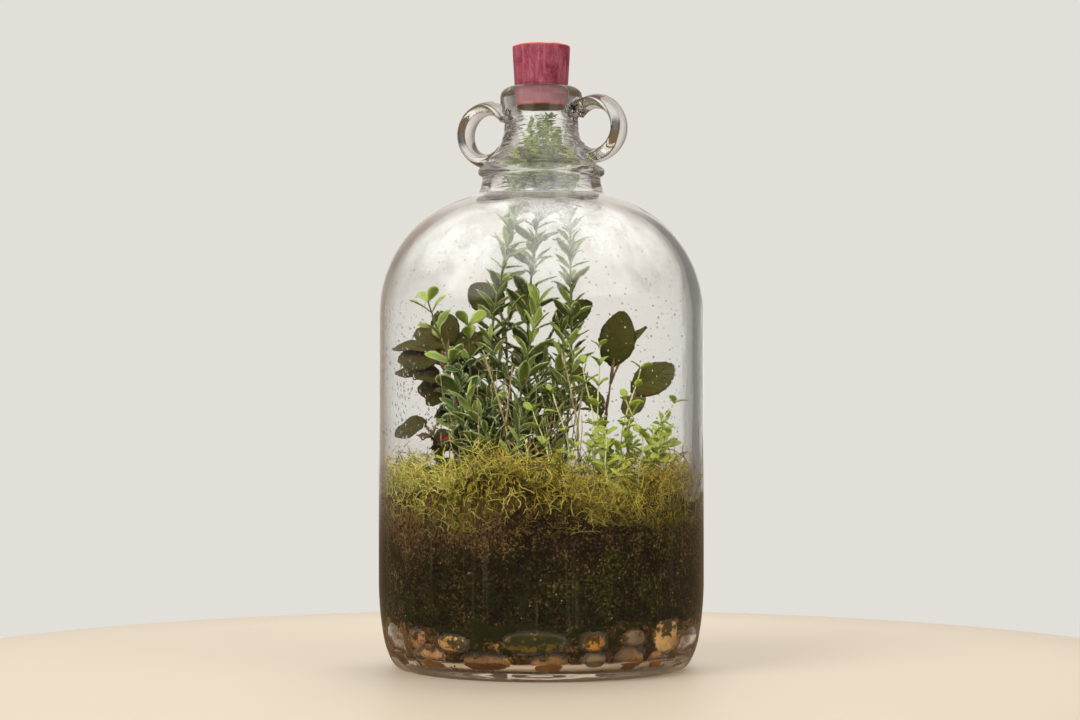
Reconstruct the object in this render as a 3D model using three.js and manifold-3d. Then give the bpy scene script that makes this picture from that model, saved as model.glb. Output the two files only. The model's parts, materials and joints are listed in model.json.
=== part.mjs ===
// A bottle garden: a one-gallon glass demijohn with two ring handles and a rubber stopper, planted over
// pebbles, potting soil and moss. Millimetres, +Z up. The origin is the centre of the bottle's foot.
// The two handles lie along X. The planting is described as it is seen by someone who stands turned
// VIEW_TURN round the bottle from the -Y side: u runs to their right and v runs away from them.

import * as THREE from "three";
import { mergeVertices } from "three/addons/utils/BufferGeometryUtils.js";
import Module from "manifold-3d";

const wasm = await Module();
wasm.setup();

const radians = THREE.MathUtils.degToRad;

// Driving sizes

const VIEW_TURN = radians(28);
const ROUND_SIDES = 28; // flats round the bottle and all that fits inside it
const GAP = 0.35; // clearance between solids that touch in the real thing

const BODY_RADIUS = 84.5;
const WALL = 4;
const WALL_DRIFT = 1.3; // the blown wall is thinner on one side and thicker on the other
const HEEL_HEIGHT = 36;
const FOOT_INNER_RADIUS = 64;
const FOOT_RADIUS = 71.5;
const PUNT_HEIGHT = 4;
const FLOOR_Z = 9.5; // inner floor at its centre
const SHOULDER_Z = 181; // where the straight body ends
const SHOULDER_RISE = 65.5;
const SHOULDER_CENTRE_RADIUS = 20.7;
const SHOULDER_POWER = 2.1; // 2 is an ellipse, and more is squarer
const NECK_ROOT_RADIUS = 30.3;
const NECK_BORE_ROOT_RADIUS = 25.8;
const BEAD_RADIUS = 32.9;
const BEAD_Z = 257.9;
const WAIST_RADIUS = 19;
const WAIST_Z = 283;
const LIP_RADIUS = 21.5;
const LIP_TOP_Z = 302;
const BORE_RADIUS = 13.9;

const RING_CENTRE = { x: 31.4, z: 279 };
const RING_RADIUS = 14; // centre line of the glass strap
const RING_THICKNESS = 7.6;
const RING_WIDTH = 16.4;
const RING_HALF_SWEEP = radians(150);

const STOPPER_BOTTOM_Z = 291.3;
const STOPPER_TOP_Z = 323.4;
const STOPPER_BOTTOM_RADIUS = 13.4;
const STOPPER_TOP_RADIUS = 15.1;
const STOPPER_EDGE = 0.6;

const SOIL_BOTTOM_Z = 27;
const SOIL_TOP_Z = 77;
const MOSS_MIDDLE_Z = 87;
const MOSS_WALL_Z = 109; // top of the moss against the glass
const MOSS_COLUMNS = 26;
const MOSS_RINGS = 4;
const ROOT_DEPTH = 5; // how far a stem goes down into the soil
const HOLE_CLEARANCE = 0.6;
const HOLE_HEADROOM = 12; // how far a root hole is cut on above the moss, clear of its strands

// A repeatable random number from 0 to 1 for each call
function seededRandom(seed) {
  let state = (Math.imul(seed, 2654435761) + 12345) >>> 0;
  return function next() {
    state = (Math.imul(state, 1664525) + 1013904223) >>> 0;
    return state / 4294967296;
  };
}

// A point or direction given to the right, away and up as seen from the front, in the part's frame
function seen(u, v, z) {
  const cos = Math.cos(VIEW_TURN);
  const sin = Math.sin(VIEW_TURN);
  return new THREE.Vector3(u * cos - v * sin, u * sin + v * cos, z);
}

// The same for a place at a radius, turned by an angle to the right of the front
function seenRound(angle, radius, z) {
  return seen(radius * Math.sin(angle), -radius * Math.cos(angle), z);
}

// Solids and meshes

function solidOf(geometry) {
  const bare = geometry.index ? geometry.toNonIndexed() : geometry.clone();
  bare.deleteAttribute("normal");
  bare.deleteAttribute("uv");
  const merged = mergeVertices(bare, 1e-4);
  const corners = merged.index.array;
  const kept = [];
  for (let i = 0; i < corners.length; i += 3) {
    const [a, b, c] = [corners[i], corners[i + 1], corners[i + 2]];
    if (a !== b && b !== c && a !== c) kept.push(a, b, c);
  }
  const build = () =>
    new wasm.Manifold(
      new wasm.Mesh({
        numProp: 3,
        vertProperties: merged.attributes.position.array,
        triVerts: new Uint32Array(kept),
      }),
    );
  const made = build();
  if (made.volume() > 0) return made;
  for (let i = 0; i < kept.length; i += 3) {
    [kept[i + 1], kept[i + 2]] = [kept[i + 2], kept[i + 1]];
  }
  return build();
}

function solidOfTriangles(positions) {
  const geometry = new THREE.BufferGeometry();
  geometry.setAttribute("position", new THREE.Float32BufferAttribute(positions, 3));
  return solidOf(geometry);
}

function geometryOf(solid) {
  const mesh = solid.getMesh();
  const geometry = new THREE.BufferGeometry();
  geometry.setAttribute("position", new THREE.BufferAttribute(mesh.vertProperties, 3));
  geometry.setIndex(new THREE.BufferAttribute(mesh.triVerts, 1));
  geometry.computeVertexNormals();
  return geometry;
}

function joined(solids) {
  return solids.reduce((sum, next) => sum.add(next));
}

// Only the largest body of a solid that a cut may have left in crumbs
function largestBody(solid) {
  return solid.decompose().sort((a, b) => b.volume() - a.volume())[0];
}

// A profile of [radius, height] points turned round the Z axis
function turned(profile) {
  const points = profile.map(([radius, height]) => new THREE.Vector2(radius, height));
  const geometry = new THREE.LatheGeometry(points, ROUND_SIDES);
  geometry.rotateX(Math.PI / 2);
  return geometry;
}

// A straight-sided round or polygonal rod along a curve
function rodAlong(path, radius, sides, steps) {
  const corners = Array.from({ length: sides }, (_, k) => {
    const angle = (k / sides) * 2 * Math.PI;
    return new THREE.Vector2(radius * Math.cos(angle), radius * Math.sin(angle));
  });
  const section = new THREE.Shape(corners);
  return solidOf(new THREE.ExtrudeGeometry(section, { steps, bevelEnabled: false, extrudePath: path }));
}

// The bottle

// The quarter of a superellipse from its side up to endRadius, as [radius, height] points
function shoulderCurve(sideRadius, rise, endRadius, steps) {
  const reach = sideRadius - SHOULDER_CENTRE_RADIUS;
  const endShare = (endRadius - SHOULDER_CENTRE_RADIUS) / reach;
  const endAngle = Math.acos(Math.pow(endShare, SHOULDER_POWER / 2));
  return Array.from({ length: steps + 1 }, (_, i) => {
    const angle = (endAngle * i) / steps;
    const across = Math.pow(Math.cos(angle), 2 / SHOULDER_POWER);
    const up = Math.pow(Math.sin(angle), 2 / SHOULDER_POWER);
    return [SHOULDER_CENTRE_RADIUS + reach * across, SHOULDER_Z + rise * up];
  });
}

function outsideProfile() {
  return [
    [0, PUNT_HEIGHT],
    [FOOT_INNER_RADIUS, 0],
    [FOOT_RADIUS, 0],
    [75.6, 1.2],
    [78.6, 5.5],
    [82, 15],
    [BODY_RADIUS, HEEL_HEIGHT],
    ...shoulderCurve(BODY_RADIUS, SHOULDER_RISE, 33, 7),
    [NECK_ROOT_RADIUS, BEAD_Z - 3.1],
    [BEAD_RADIUS, BEAD_Z - 1.2],
    [BEAD_RADIUS, BEAD_Z + 1.2],
    [NECK_ROOT_RADIUS - 0.4, BEAD_Z + 3.4],
    [25.8, 266],
    [20.8, 272],
    [WAIST_RADIUS, WAIST_Z],
    [WAIST_RADIUS + 0.6, 288.5],
    [LIP_RADIUS, 293.4],
    [LIP_RADIUS, 298.6],
    [LIP_RADIUS - 2.6, LIP_TOP_Z - 0.6],
    [LIP_RADIUS - 5, LIP_TOP_Z],
    [0, LIP_TOP_Z],
  ];
}

function insideProfile() {
  const stopperSlope = (STOPPER_TOP_RADIUS - STOPPER_BOTTOM_RADIUS) / (STOPPER_TOP_Z - STOPPER_BOTTOM_Z);
  const mouth = STOPPER_BOTTOM_RADIUS + GAP + stopperSlope * (LIP_TOP_Z - STOPPER_BOTTOM_Z);
  const inner = BODY_RADIUS - WALL;
  return [
    [0, FLOOR_Z],
    [60, 7],
    [68, 7.4],
    [74, 12],
    [78.6, 21],
    [inner, HEEL_HEIGHT],
    ...shoulderCurve(inner, SHOULDER_RISE - WALL, 26.8, 6),
    [NECK_BORE_ROOT_RADIUS, 258],
    [18.4, 269],
    [BORE_RADIUS, WAIST_Z - 4],
    [BORE_RADIUS, STOPPER_BOTTOM_Z + 2],
    [mouth, LIP_TOP_Z - 1.2],
    [mouth + 1.2, LIP_TOP_Z + 4],
    [0, LIP_TOP_Z + 4],
  ];
}

// How much of the drift of the blown wall there is at a height
function driftShare(z) {
  const above = THREE.MathUtils.smoothstep(z, HEEL_HEIGHT * 0.4, HEEL_HEIGHT);
  const below = 1 - THREE.MathUtils.smoothstep(z, SHOULDER_Z, SHOULDER_Z + SHOULDER_RISE * 0.8);
  return above * below;
}

// The bottle's inside up through the mouth, pulled in by inset for what lies against the glass
function bottleInside(inset) {
  const floorPoints = 3;
  const profile = insideProfile().map(([radius, height], i) => [
    Math.max(0, radius - inset),
    height + (i < floorPoints ? inset : 0),
  ]);
  const geometry = turned(profile);
  const drift = seen(-WALL_DRIFT, 0, 0);
  const position = geometry.attributes.position;
  for (let i = 0; i < position.count; i++) {
    const share = driftShare(position.getZ(i));
    position.setX(i, position.getX(i) + drift.x * share);
    position.setY(i, position.getY(i) + drift.y * share);
  }
  return solidOf(geometry);
}

class RingPath extends THREE.Curve {
  constructor(side) {
    super();
    this.side = side;
  }

  getPoint(share, target = new THREE.Vector3()) {
    const angle = RING_HALF_SWEEP * (1 - 2 * share);
    const x = RING_CENTRE.x + RING_RADIUS * Math.cos(angle);
    return target.set(this.side * x, 0, RING_CENTRE.z + RING_RADIUS * Math.sin(angle));
  }
}

function ringHandle(side) {
  const section = new THREE.Shape();
  section.absellipse(0, 0, RING_WIDTH / 2, RING_THICKNESS / 2, 0, 2 * Math.PI);
  const options = { steps: 14, curveSegments: 5, bevelEnabled: false, extrudePath: new RingPath(side) };
  return solidOf(new THREE.ExtrudeGeometry(section, options));
}

function bottle() {
  const outside = solidOf(turned(outsideProfile()));
  return joined([outside, ringHandle(1), ringHandle(-1)]).subtract(bottleInside(0));
}

function stopper() {
  return solidOf(
    turned([
      [0, STOPPER_BOTTOM_Z],
      [STOPPER_BOTTOM_RADIUS - STOPPER_EDGE, STOPPER_BOTTOM_Z],
      [STOPPER_BOTTOM_RADIUS, STOPPER_BOTTOM_Z + STOPPER_EDGE],
      [STOPPER_TOP_RADIUS, STOPPER_TOP_Z - STOPPER_EDGE],
      [STOPPER_TOP_RADIUS - STOPPER_EDGE, STOPPER_TOP_Z],
      [0, STOPPER_TOP_Z],
    ]),
  );
}

// Pebbles: each has its bearing from the front, its half width and half height, and its colour.
// The first ones lie on the floor of the bottle, and the later ones are dropped on top of them.

const PEBBLES = [
  { at: -66, wide: 10, high: 9.4, kind: "brown" },
  { at: -45, wide: 12, high: 5.4, kind: "tan" },
  { at: -20.5, wide: 15, high: 4.6, kind: "brown" },
  { at: 3, wide: 11, high: 4.4, kind: "tan" },
  { at: 19.5, wide: 7.6, high: 4, kind: "grey" },
  { at: 34, wide: 8.6, high: 5.6, kind: "brown" },
  { at: 48, wide: 7.2, high: 4, kind: "orange" },
  { at: 68, wide: 12.6, high: 8.6, kind: "tan" },
  ...Array.from({ length: 9 }, (_, i) => ({
    at: 90.5 + i * 23,
    wide: 11.4 + 1.2 * Math.sin(5 * i),
    high: 7.6 + 1.6 * Math.sin(3 * i + 1),
    kind: ["grey", "tan", "brown"][i % 3],
  })),
  { at: -33, wide: 11, high: 4.8, kind: "cream" },
  { at: -49.5, wide: 5.4, high: 4.4, kind: "pink" },
  { at: -2, wide: 17, high: 6.2, kind: "olive" },
  { at: 19, wide: 7, high: 5.6, kind: "orange" },
  { at: 35.5, wide: 7.4, high: 4.6, kind: "grey" },
  { at: 51.5, wide: 10, high: 8.4, kind: "cream" },
];
const PEBBLE_DEPTH = 7; // half size towards the wall
const PEBBLE_WALL_ROOM = 1.6; // keeps the sides of a pebble clear of the flats of the wall
const PEBBLE_DENT = 0.05;
const DROP_START_Z = 44;
const DROP_STEP = 0.3;

function pebbleAt(pebble, z) {
  const geometry = new THREE.SphereGeometry(1, 8, 4);
  geometry.rotateX(Math.PI / 2);
  const position = geometry.attributes.position;
  for (let i = 0; i < position.count; i++) {
    const [x, y, h] = [position.getX(i), position.getY(i), position.getZ(i)];
    const dent = 1 - PEBBLE_DENT * (1 + Math.sin(2.3 * x + 1.7 * y + 2.9 * h + pebble.at));
    position.setXYZ(i, x * pebble.wide * dent, y * PEBBLE_DEPTH * dent, h * pebble.high * dent);
  }
  const angle = radians(pebble.at);
  const low = z - 0.4 * pebble.high;
  const wall = radiusAt(insideProfile(), low) - WALL_DRIFT * Math.sin(angle) * driftShare(z);
  const centre = seenRound(angle, wall - PEBBLE_DEPTH - PEBBLE_WALL_ROOM, z);
  geometry.rotateZ(VIEW_TURN + angle);
  geometry.translate(centre.x, centre.y, centre.z);
  return solidOf(geometry);
}

// The radius of a profile at a height above its foot
function radiusAt(profile, z) {
  const i = profile.findIndex(([radius, height], k) => k > 2 && height >= z && radius > 0);
  const [r0, z0] = profile[i - 1];
  const [r1, z1] = profile[i];
  return r0 + ((r1 - r0) * (z - z0)) / (z1 - z0);
}

function overlaps(a, b) {
  const [boxA, boxB] = [a.boundingBox(), b.boundingBox()];
  const apart = [0, 1, 2].some((k) => boxA.min[k] > boxB.max[k] || boxB.min[k] > boxA.max[k]);
  return !apart && a.intersect(b).volume() > 1e-6;
}

function swollen(solid, margin) {
  const box = solid.boundingBox();
  const middle = [0, 1, 2].map((k) => (box.min[k] + box.max[k]) / 2);
  const grow = [0, 1, 2].map((k) => 1 + (2 * margin) / (box.max[k] - box.min[k]));
  return solid.translate(middle.map((m) => -m)).scale(grow).translate(middle);
}

// Each pebble sinks until it would touch the floor or a pebble that lies there already.
function dropPebbles(room, bed) {
  const fallen = [bed];
  for (const pebble of PEBBLES) {
    const blocked = (z) => {
      const stone = swollen(pebbleAt(pebble, z), GAP);
      return stone.subtract(room).volume() > 1e-3 || fallen.some((other) => overlaps(stone, other));
    };
    let z = DROP_START_Z;
    while (!blocked(z - DROP_STEP)) z -= DROP_STEP;
    fallen.push(pebbleAt(pebble, z));
  }
  return fallen.slice(1);
}

// The middle of the drainage layer: stones heaped against each other, as one body
const BED_STONE_RADIUS = 21;
const BED_STONE_HALF_HEIGHT = 8;
const BED_RING_RADIUS = 33;

function pebbleBed() {
  const lump = (x, y) => {
    const geometry = new THREE.SphereGeometry(1, 7, 4);
    geometry.rotateX(Math.PI / 2);
    geometry.scale(BED_STONE_RADIUS, BED_STONE_RADIUS, BED_STONE_HALF_HEIGHT);
    geometry.rotateZ(0.3 + x);
    geometry.translate(x, y, FLOOR_Z + GAP + BED_STONE_HALF_HEIGHT);
    return solidOf(geometry);
  };
  const around = [0, 1, 2, 3, 4].map((i) => radians(72 * i));
  const ring = around.map((a) => lump(BED_RING_RADIUS * Math.cos(a), BED_RING_RADIUS * Math.sin(a)));
  return joined([lump(0, 0), ...ring]);
}

// Soil and moss

// A slow wave over the plan, for uneven ground
function unevenness(x, y) {
  return Math.sin(x * 0.09 + 1.3) * Math.cos(y * 0.11 - 0.6) + 0.5 * Math.sin(x * 0.05 - y * 0.17);
}

function bell(angle, centre, width) {
  const away = THREE.MathUtils.euclideanModulo(angle - centre + 180, 360) - 180;
  return Math.exp(-(away * away) / (width * width));
}

// The height of the moss against the glass: a tuft left of the front, and a hollow right of it
function mossRim(angle) {
  const ripple = 1.6 * Math.sin(radians(angle * 9)) + 1.2 * Math.sin(radians(angle * 14 + 50));
  return MOSS_WALL_Z + 7 * bell(angle, -14, 15) - 20 * bell(angle, 34, 17) - 6 * bell(angle, 180, 60) + ripple;
}

function mossTop(x, y) {
  const radius = Math.hypot(x, y);
  const angle = THREE.MathUtils.radToDeg(Math.atan2(y, x) + Math.PI / 2 - VIEW_TURN);
  const wall = THREE.MathUtils.smoothstep(radius, 40, BODY_RADIUS - WALL);
  return MOSS_MIDDLE_Z + (mossRim(angle) - MOSS_MIDDLE_Z) * wall + 1.2 * unevenness(1.9 * x, 1.9 * y);
}

// The moss from the soil up, as a closed skin of rings round the middle
function mossSlab(columns, rings) {
  const corner = (column, ring, upper) => {
    const angle = radians((360 * (column % columns)) / columns);
    const { x, y } = seenRound(angle, (BODY_RADIUS + 1) * Math.pow(ring / rings, 0.75), 0);
    return [x, y, upper ? mossTop(x, y) : SOIL_TOP_Z + GAP];
  };
  const positions = [];
  const quad = (a, b, c, d) => positions.push(...a, ...b, ...c, ...a, ...c, ...d);
  for (let column = 0; column < columns; column++) {
    for (let ring = 0; ring < rings; ring++) {
      const plan = [
        [column, ring],
        [column, ring + 1],
        [column + 1, ring + 1],
        [column + 1, ring],
      ];
      quad(...plan.map(([c, r]) => corner(c, r, true)));
      quad(...plan.reverse().map(([c, r]) => corner(c, r, false)));
    }
    quad(
      corner(column, rings, false),
      corner(column + 1, rings, false),
      corner(column + 1, rings, true),
      corner(column, rings, true),
    );
  }
  return solidOfTriangles(positions);
}

// Plants: stems

// A stem rises straight out of its hole in the ground, and then leans and sways over to its tip.
class StemPath extends THREE.Curve {
  constructor(root, tip, bow) {
    super();
    this.foot = seen(root[0], root[1], SOIL_TOP_Z - ROOT_DEPTH);
    this.tip = seen(...tip);
    this.bow = seen(bow[0], bow[1], 0);
    this.rise = this.tip.z - this.foot.z;
    this.free = (mossTop(this.foot.x, this.foot.y) + 1 - this.foot.z) / this.rise;
  }

  getPoint(t, target = new THREE.Vector3()) {
    const s = Math.max(0, (t - this.free) / (1 - this.free));
    const lean = Math.pow(s, 1.6);
    const sway = Math.sin(Math.PI * s) ** 2;
    return target.set(
      this.foot.x + (this.tip.x - this.foot.x) * lean + this.bow.x * sway,
      this.foot.y + (this.tip.y - this.foot.y) * lean + this.bow.y * sway,
      this.foot.z + this.rise * t,
    );
  }

  // The point at a share of the stem's length above the ground, and the way it runs there
  place(share) {
    const t = this.free + (1 - this.free) * share;
    const along = this.getPoint(t).sub(this.getPoint(t - 0.02)).normalize();
    return { point: this.getPoint(t), along };
  }
}

// Plants: leaves

// Outlines of leaves as [share of length, share of half width], from the base to the tip
const LANCE_OUTLINE = [
  [0, 0.22],
  [0.34, 0.9],
  [0.7, 0.8],
  [1, 0],
];
const OVAL_OUTLINE = [
  [0, 0.2],
  [0.45, 1],
  [1, 0],
];
const BROAD_OUTLINE = [
  [0, 0.14],
  [0.2, 0.8],
  [0.48, 1],
  [0.78, 0.74],
  [1, 0],
];

// The frame of a leaf: along its rib, across it and out of its upper face
function leafFrame(leaf) {
  const along = leaf.tip.clone().sub(leaf.base);
  const length = along.length();
  along.normalize();
  const across = leaf.face.clone().cross(along).normalize();
  return { along, across, up: along.clone().cross(across), length };
}

function onLeaf(leaf, share, side, height) {
  const { along, across, up, length } = leafFrame(leaf);
  const arch = leaf.arch * length * 4 * share * (1 - share);
  return leaf.base
    .clone()
    .addScaledVector(along, share * length)
    .addScaledVector(across, side)
    .addScaledVector(up, height + arch + leaf.fold * Math.abs(side));
}

// A blade is smooth above, with its rib as a keel below, and sharp at its edges.
function blade(leaf) {
  const rings = leaf.outline.slice(0, -1).map(([share, wide]) => {
    const side = (wide * leaf.width) / 2;
    return [
      onLeaf(leaf, share, side, 0),
      onLeaf(leaf, share, -side, 0),
      onLeaf(leaf, share, 0, -leaf.thickness),
    ];
  });
  const tip = onLeaf(leaf, 1, 0, 0);
  const positions = [];
  const triangle = (a, b, c) => positions.push(...a.toArray(), ...b.toArray(), ...c.toArray());
  for (let k = 0; k < 3; k++) {
    const next = (k + 1) % 3;
    for (let i = 0; i + 1 < rings.length; i++) {
      triangle(rings[i][k], rings[i + 1][next], rings[i][next]);
      triangle(rings[i][k], rings[i + 1][k], rings[i + 1][next]);
    }
    triangle(rings.at(-1)[k], tip, rings.at(-1)[next]);
  }
  triangle(rings[0][0], rings[0][1], rings[0][2]);
  return solidOfTriangles(positions);
}

// Room for the leaves: every stem and leaf is also kept as a row of balls, and a new leaf keeps its own
// balls clear of those of all other plants, of the moss and of the glass.

const LEAF_SPACING = 0.7;
const GLASS_SPACING = 2.2;
const MOSS_SPACING = 0.9;
const STOPPER_SPACING = 1.5;
const TURNS = [0, 20, -20, 40, -40, 60, -60, 80, -80].map(radians);
const SHRINKS = [1, 0.78, 0.6];

const crowd = [];

function crowdStem(owner, path, radius) {
  for (let z = path.foot.z; z < path.tip.z; z += 2) {
    const point = path.getPoint((z - path.foot.z) / path.rise);
    crowd.push({ owner, point, radius });
  }
}

function ballsOf(leaf) {
  const across = leaf.width > 11 ? [-0.58, 0, 0.58] : [0];
  const half = (leaf.width / 2) * (leaf.width > 11 ? 0.42 : 0.84);
  return [0.3, 0.62, 0.96].flatMap((share) => {
    const radius = share > 0.9 ? 0.9 : half;
    const sides = share > 0.9 ? [0] : across;
    return sides.map((side) => ({ point: onLeaf(leaf, share, (side * leaf.width) / 2, 0), radius }));
  });
}

function hasRoom(owner, leaf) {
  const inside = insideProfile();
  return ballsOf(leaf).every(({ point, radius }) => {
    const glass = radiusAt(inside, point.z) - Math.hypot(point.x, point.y);
    if (glass < radius + GLASS_SPACING) return false;
    if (point.z - mossTop(point.x, point.y) < radius + MOSS_SPACING) return false;
    if (point.z + radius > STOPPER_BOTTOM_Z - STOPPER_SPACING) return false;
    return crowd.every(
      (other) =>
        other.owner === owner || other.point.distanceTo(point) > other.radius + radius + LEAF_SPACING,
    );
  });
}

// Leaves stand on a stem in opposite pairs, each pair turned across the last.
function pairedLeaf(plant, pair, side, wobble, turn, shrink) {
  const share = plant.firstLeaf + (1 - plant.firstLeaf) * (pair / (plant.pairs - 1));
  const { point, along } = plant.path.place(Math.min(share, 0.99));
  const bearing = plant.bearing + (pair * Math.PI) / 2 + side * Math.PI + wobble.bearing + turn;
  const level = new THREE.Vector3(Math.cos(bearing), Math.sin(bearing), 0);
  const outward = level.addScaledVector(along, -level.dot(along)).normalize();
  const lift = THREE.MathUtils.lerp(plant.lowLift, plant.topLift, share) + wobble.lift;
  const length = THREE.MathUtils.lerp(plant.lowLeaf, plant.topLeaf, share) * wobble.size * shrink;
  const reach = outward.multiplyScalar(length * Math.cos(lift)).addScaledVector(along, length * Math.sin(lift));
  const rib = reach.clone().normalize();
  return {
    base: point,
    tip: point.clone().add(reach),
    face: along.clone().applyAxisAngle(rib, wobble.roll),
    width: length * plant.leafShape,
    arch: plant.arch,
    fold: 0.12,
    thickness: plant.leafThickness,
    outline: plant.outline,
  };
}

function placePairedLeaves(plant) {
  const random = seededRandom(plant.seed);
  plant.leaves = [];
  for (let i = 0; i < plant.pairs * 2; i++) {
    const wobble = {
      bearing: (random() - 0.5) * 0.7,
      lift: (random() - 0.5) * 0.4,
      size: 0.85 + 0.3 * random(),
      roll: (random() - 0.5) * plant.roll,
    };
    const tries = SHRINKS.flatMap((shrink) => TURNS.map((turn) => ({ shrink, turn })));
    const found = tries
      .map(({ shrink, turn }) => pairedLeaf(plant, Math.floor(i / 2), i % 2, wobble, turn, shrink))
      .find((leaf) => hasRoom(plant.seed, leaf));
    if (found) plant.leaves.push(found);
  }
  for (const leaf of plant.leaves) {
    crowd.push(...ballsOf(leaf).map((ball) => ({ ...ball, owner: plant.seed })));
  }
}

function leafyStem(plant) {
  const stem = rodAlong(plant.path, plant.stemRadius, 4, plant.steps);
  return joined([stem, ...plant.leaves.map(blade)]);
}

const SHRUB = {
  kind: "shrub",
  outline: LANCE_OUTLINE,
  lowLift: 0.45,
  topLift: 0.95,
  lowLeaf: 20,
  topLeaf: 12.5,
  leafShape: 0.38,
  leafThickness: 0.9,
  arch: 0.07,
  roll: 1.4,
  stemRadius: 1,
  steps: 7,
};
const VARIEGATED = { ...SHRUB, leafShape: 0.5, lowLeaf: 17, topLeaf: 12, topLift: 0.7, roll: 2 };
const SEEDLING = {
  kind: "seedling",
  outline: OVAL_OUTLINE,
  lowLift: 0.15,
  topLift: 0.6,
  lowLeaf: 9,
  topLeaf: 7,
  leafShape: 0.6,
  leafThickness: 0.8,
  arch: 0.1,
  roll: 1.4,
  stemRadius: 0.7,
  steps: 5,
};

// A plant of a kind: root (u, v), tip (u, v, z), sideways bow (u, v) and what sets it apart
function plantOf(kind, seed, root, tip, bow, own) {
  const path = new StemPath(root, tip, bow);
  return { ...kind, seed, root, path, bearing: VIEW_TURN + (seed % 5) * 0.3, ...own };
}

const LEAFY_STEMS = [
  plantOf(SHRUB, 3, [-5, 8], [4, 3, 287], [-4, 3], { pairs: 12, firstLeaf: 0.26, stemRadius: 1.2, steps: 9 }),
  plantOf(SHRUB, 4, [-25, 8], [-11, 3, 257], [-5, 2], { pairs: 9, firstLeaf: 0.3, lowLeaf: 17 }),
  plantOf(SHRUB, 5, [13, 10], [15, 4, 257], [3, 3], { pairs: 9, firstLeaf: 0.3, lowLeaf: 17 }),
  plantOf(SHRUB, 6, [-9, -18], [-1, -17, 190], [-4, -2], { pairs: 7, firstLeaf: 0.15 }),
  plantOf(VARIEGATED, 7, [-40, -24], [-57, -30, 190], [5, 0], { pairs: 6, firstLeaf: 0.22 }),
  plantOf(VARIEGATED, 8, [-30, -12], [-37, -17, 178], [-3, 0], { pairs: 5, firstLeaf: 0.2 }),
  plantOf(SHRUB, 9, [-24, -31], [-36, -37, 138], [4, 0], { pairs: 4, firstLeaf: 0.3, lowLeaf: 20 }),
  plantOf(SHRUB, 10, [5, -6], [13, -9, 168], [-2, 0], { pairs: 5, firstLeaf: 0.25 }),
  plantOf(SEEDLING, 31, [12, -36], [6, -41, 143], [4, 0], { pairs: 4, firstLeaf: 0.45 }),
  plantOf(SEEDLING, 32, [3, -42], [-4, -47, 134], [3, 0], { pairs: 4, firstLeaf: 0.4 }),
  plantOf(SEEDLING, 33, [33, -22], [30, -25, 167], [-3, 0], { pairs: 6, firstLeaf: 0.35 }),
  plantOf(SEEDLING, 34, [26, -33], [21, -37, 158], [3, 0], { pairs: 5, firstLeaf: 0.4 }),
  plantOf(SEEDLING, 35, [43, -18], [51, -22, 156], [-4, 0], { pairs: 5, firstLeaf: 0.4 }),
  plantOf(SEEDLING, 36, [49, -33], [42, -40, 140], [4, 0], { pairs: 4, firstLeaf: 0.35 }),
  plantOf(SEEDLING, 37, [56, -10], [68, -20, 138], [-4, 0], { pairs: 3, firstLeaf: 0.5 }),
  plantOf(SEEDLING, 38, [35, -46], [32, -52, 122], [-2, 0], { pairs: 4, firstLeaf: 0.3, lowLeaf: 11 }),
  plantOf(SEEDLING, 39, [60, -27], [63, -31, 122], [1, 0], { pairs: 3, firstLeaf: 0.4, lowLeaf: 10 }),
];

// The nerve plants: each has one stem, and broad leaves placed by base, tip and upper face (u, v, z)

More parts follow.
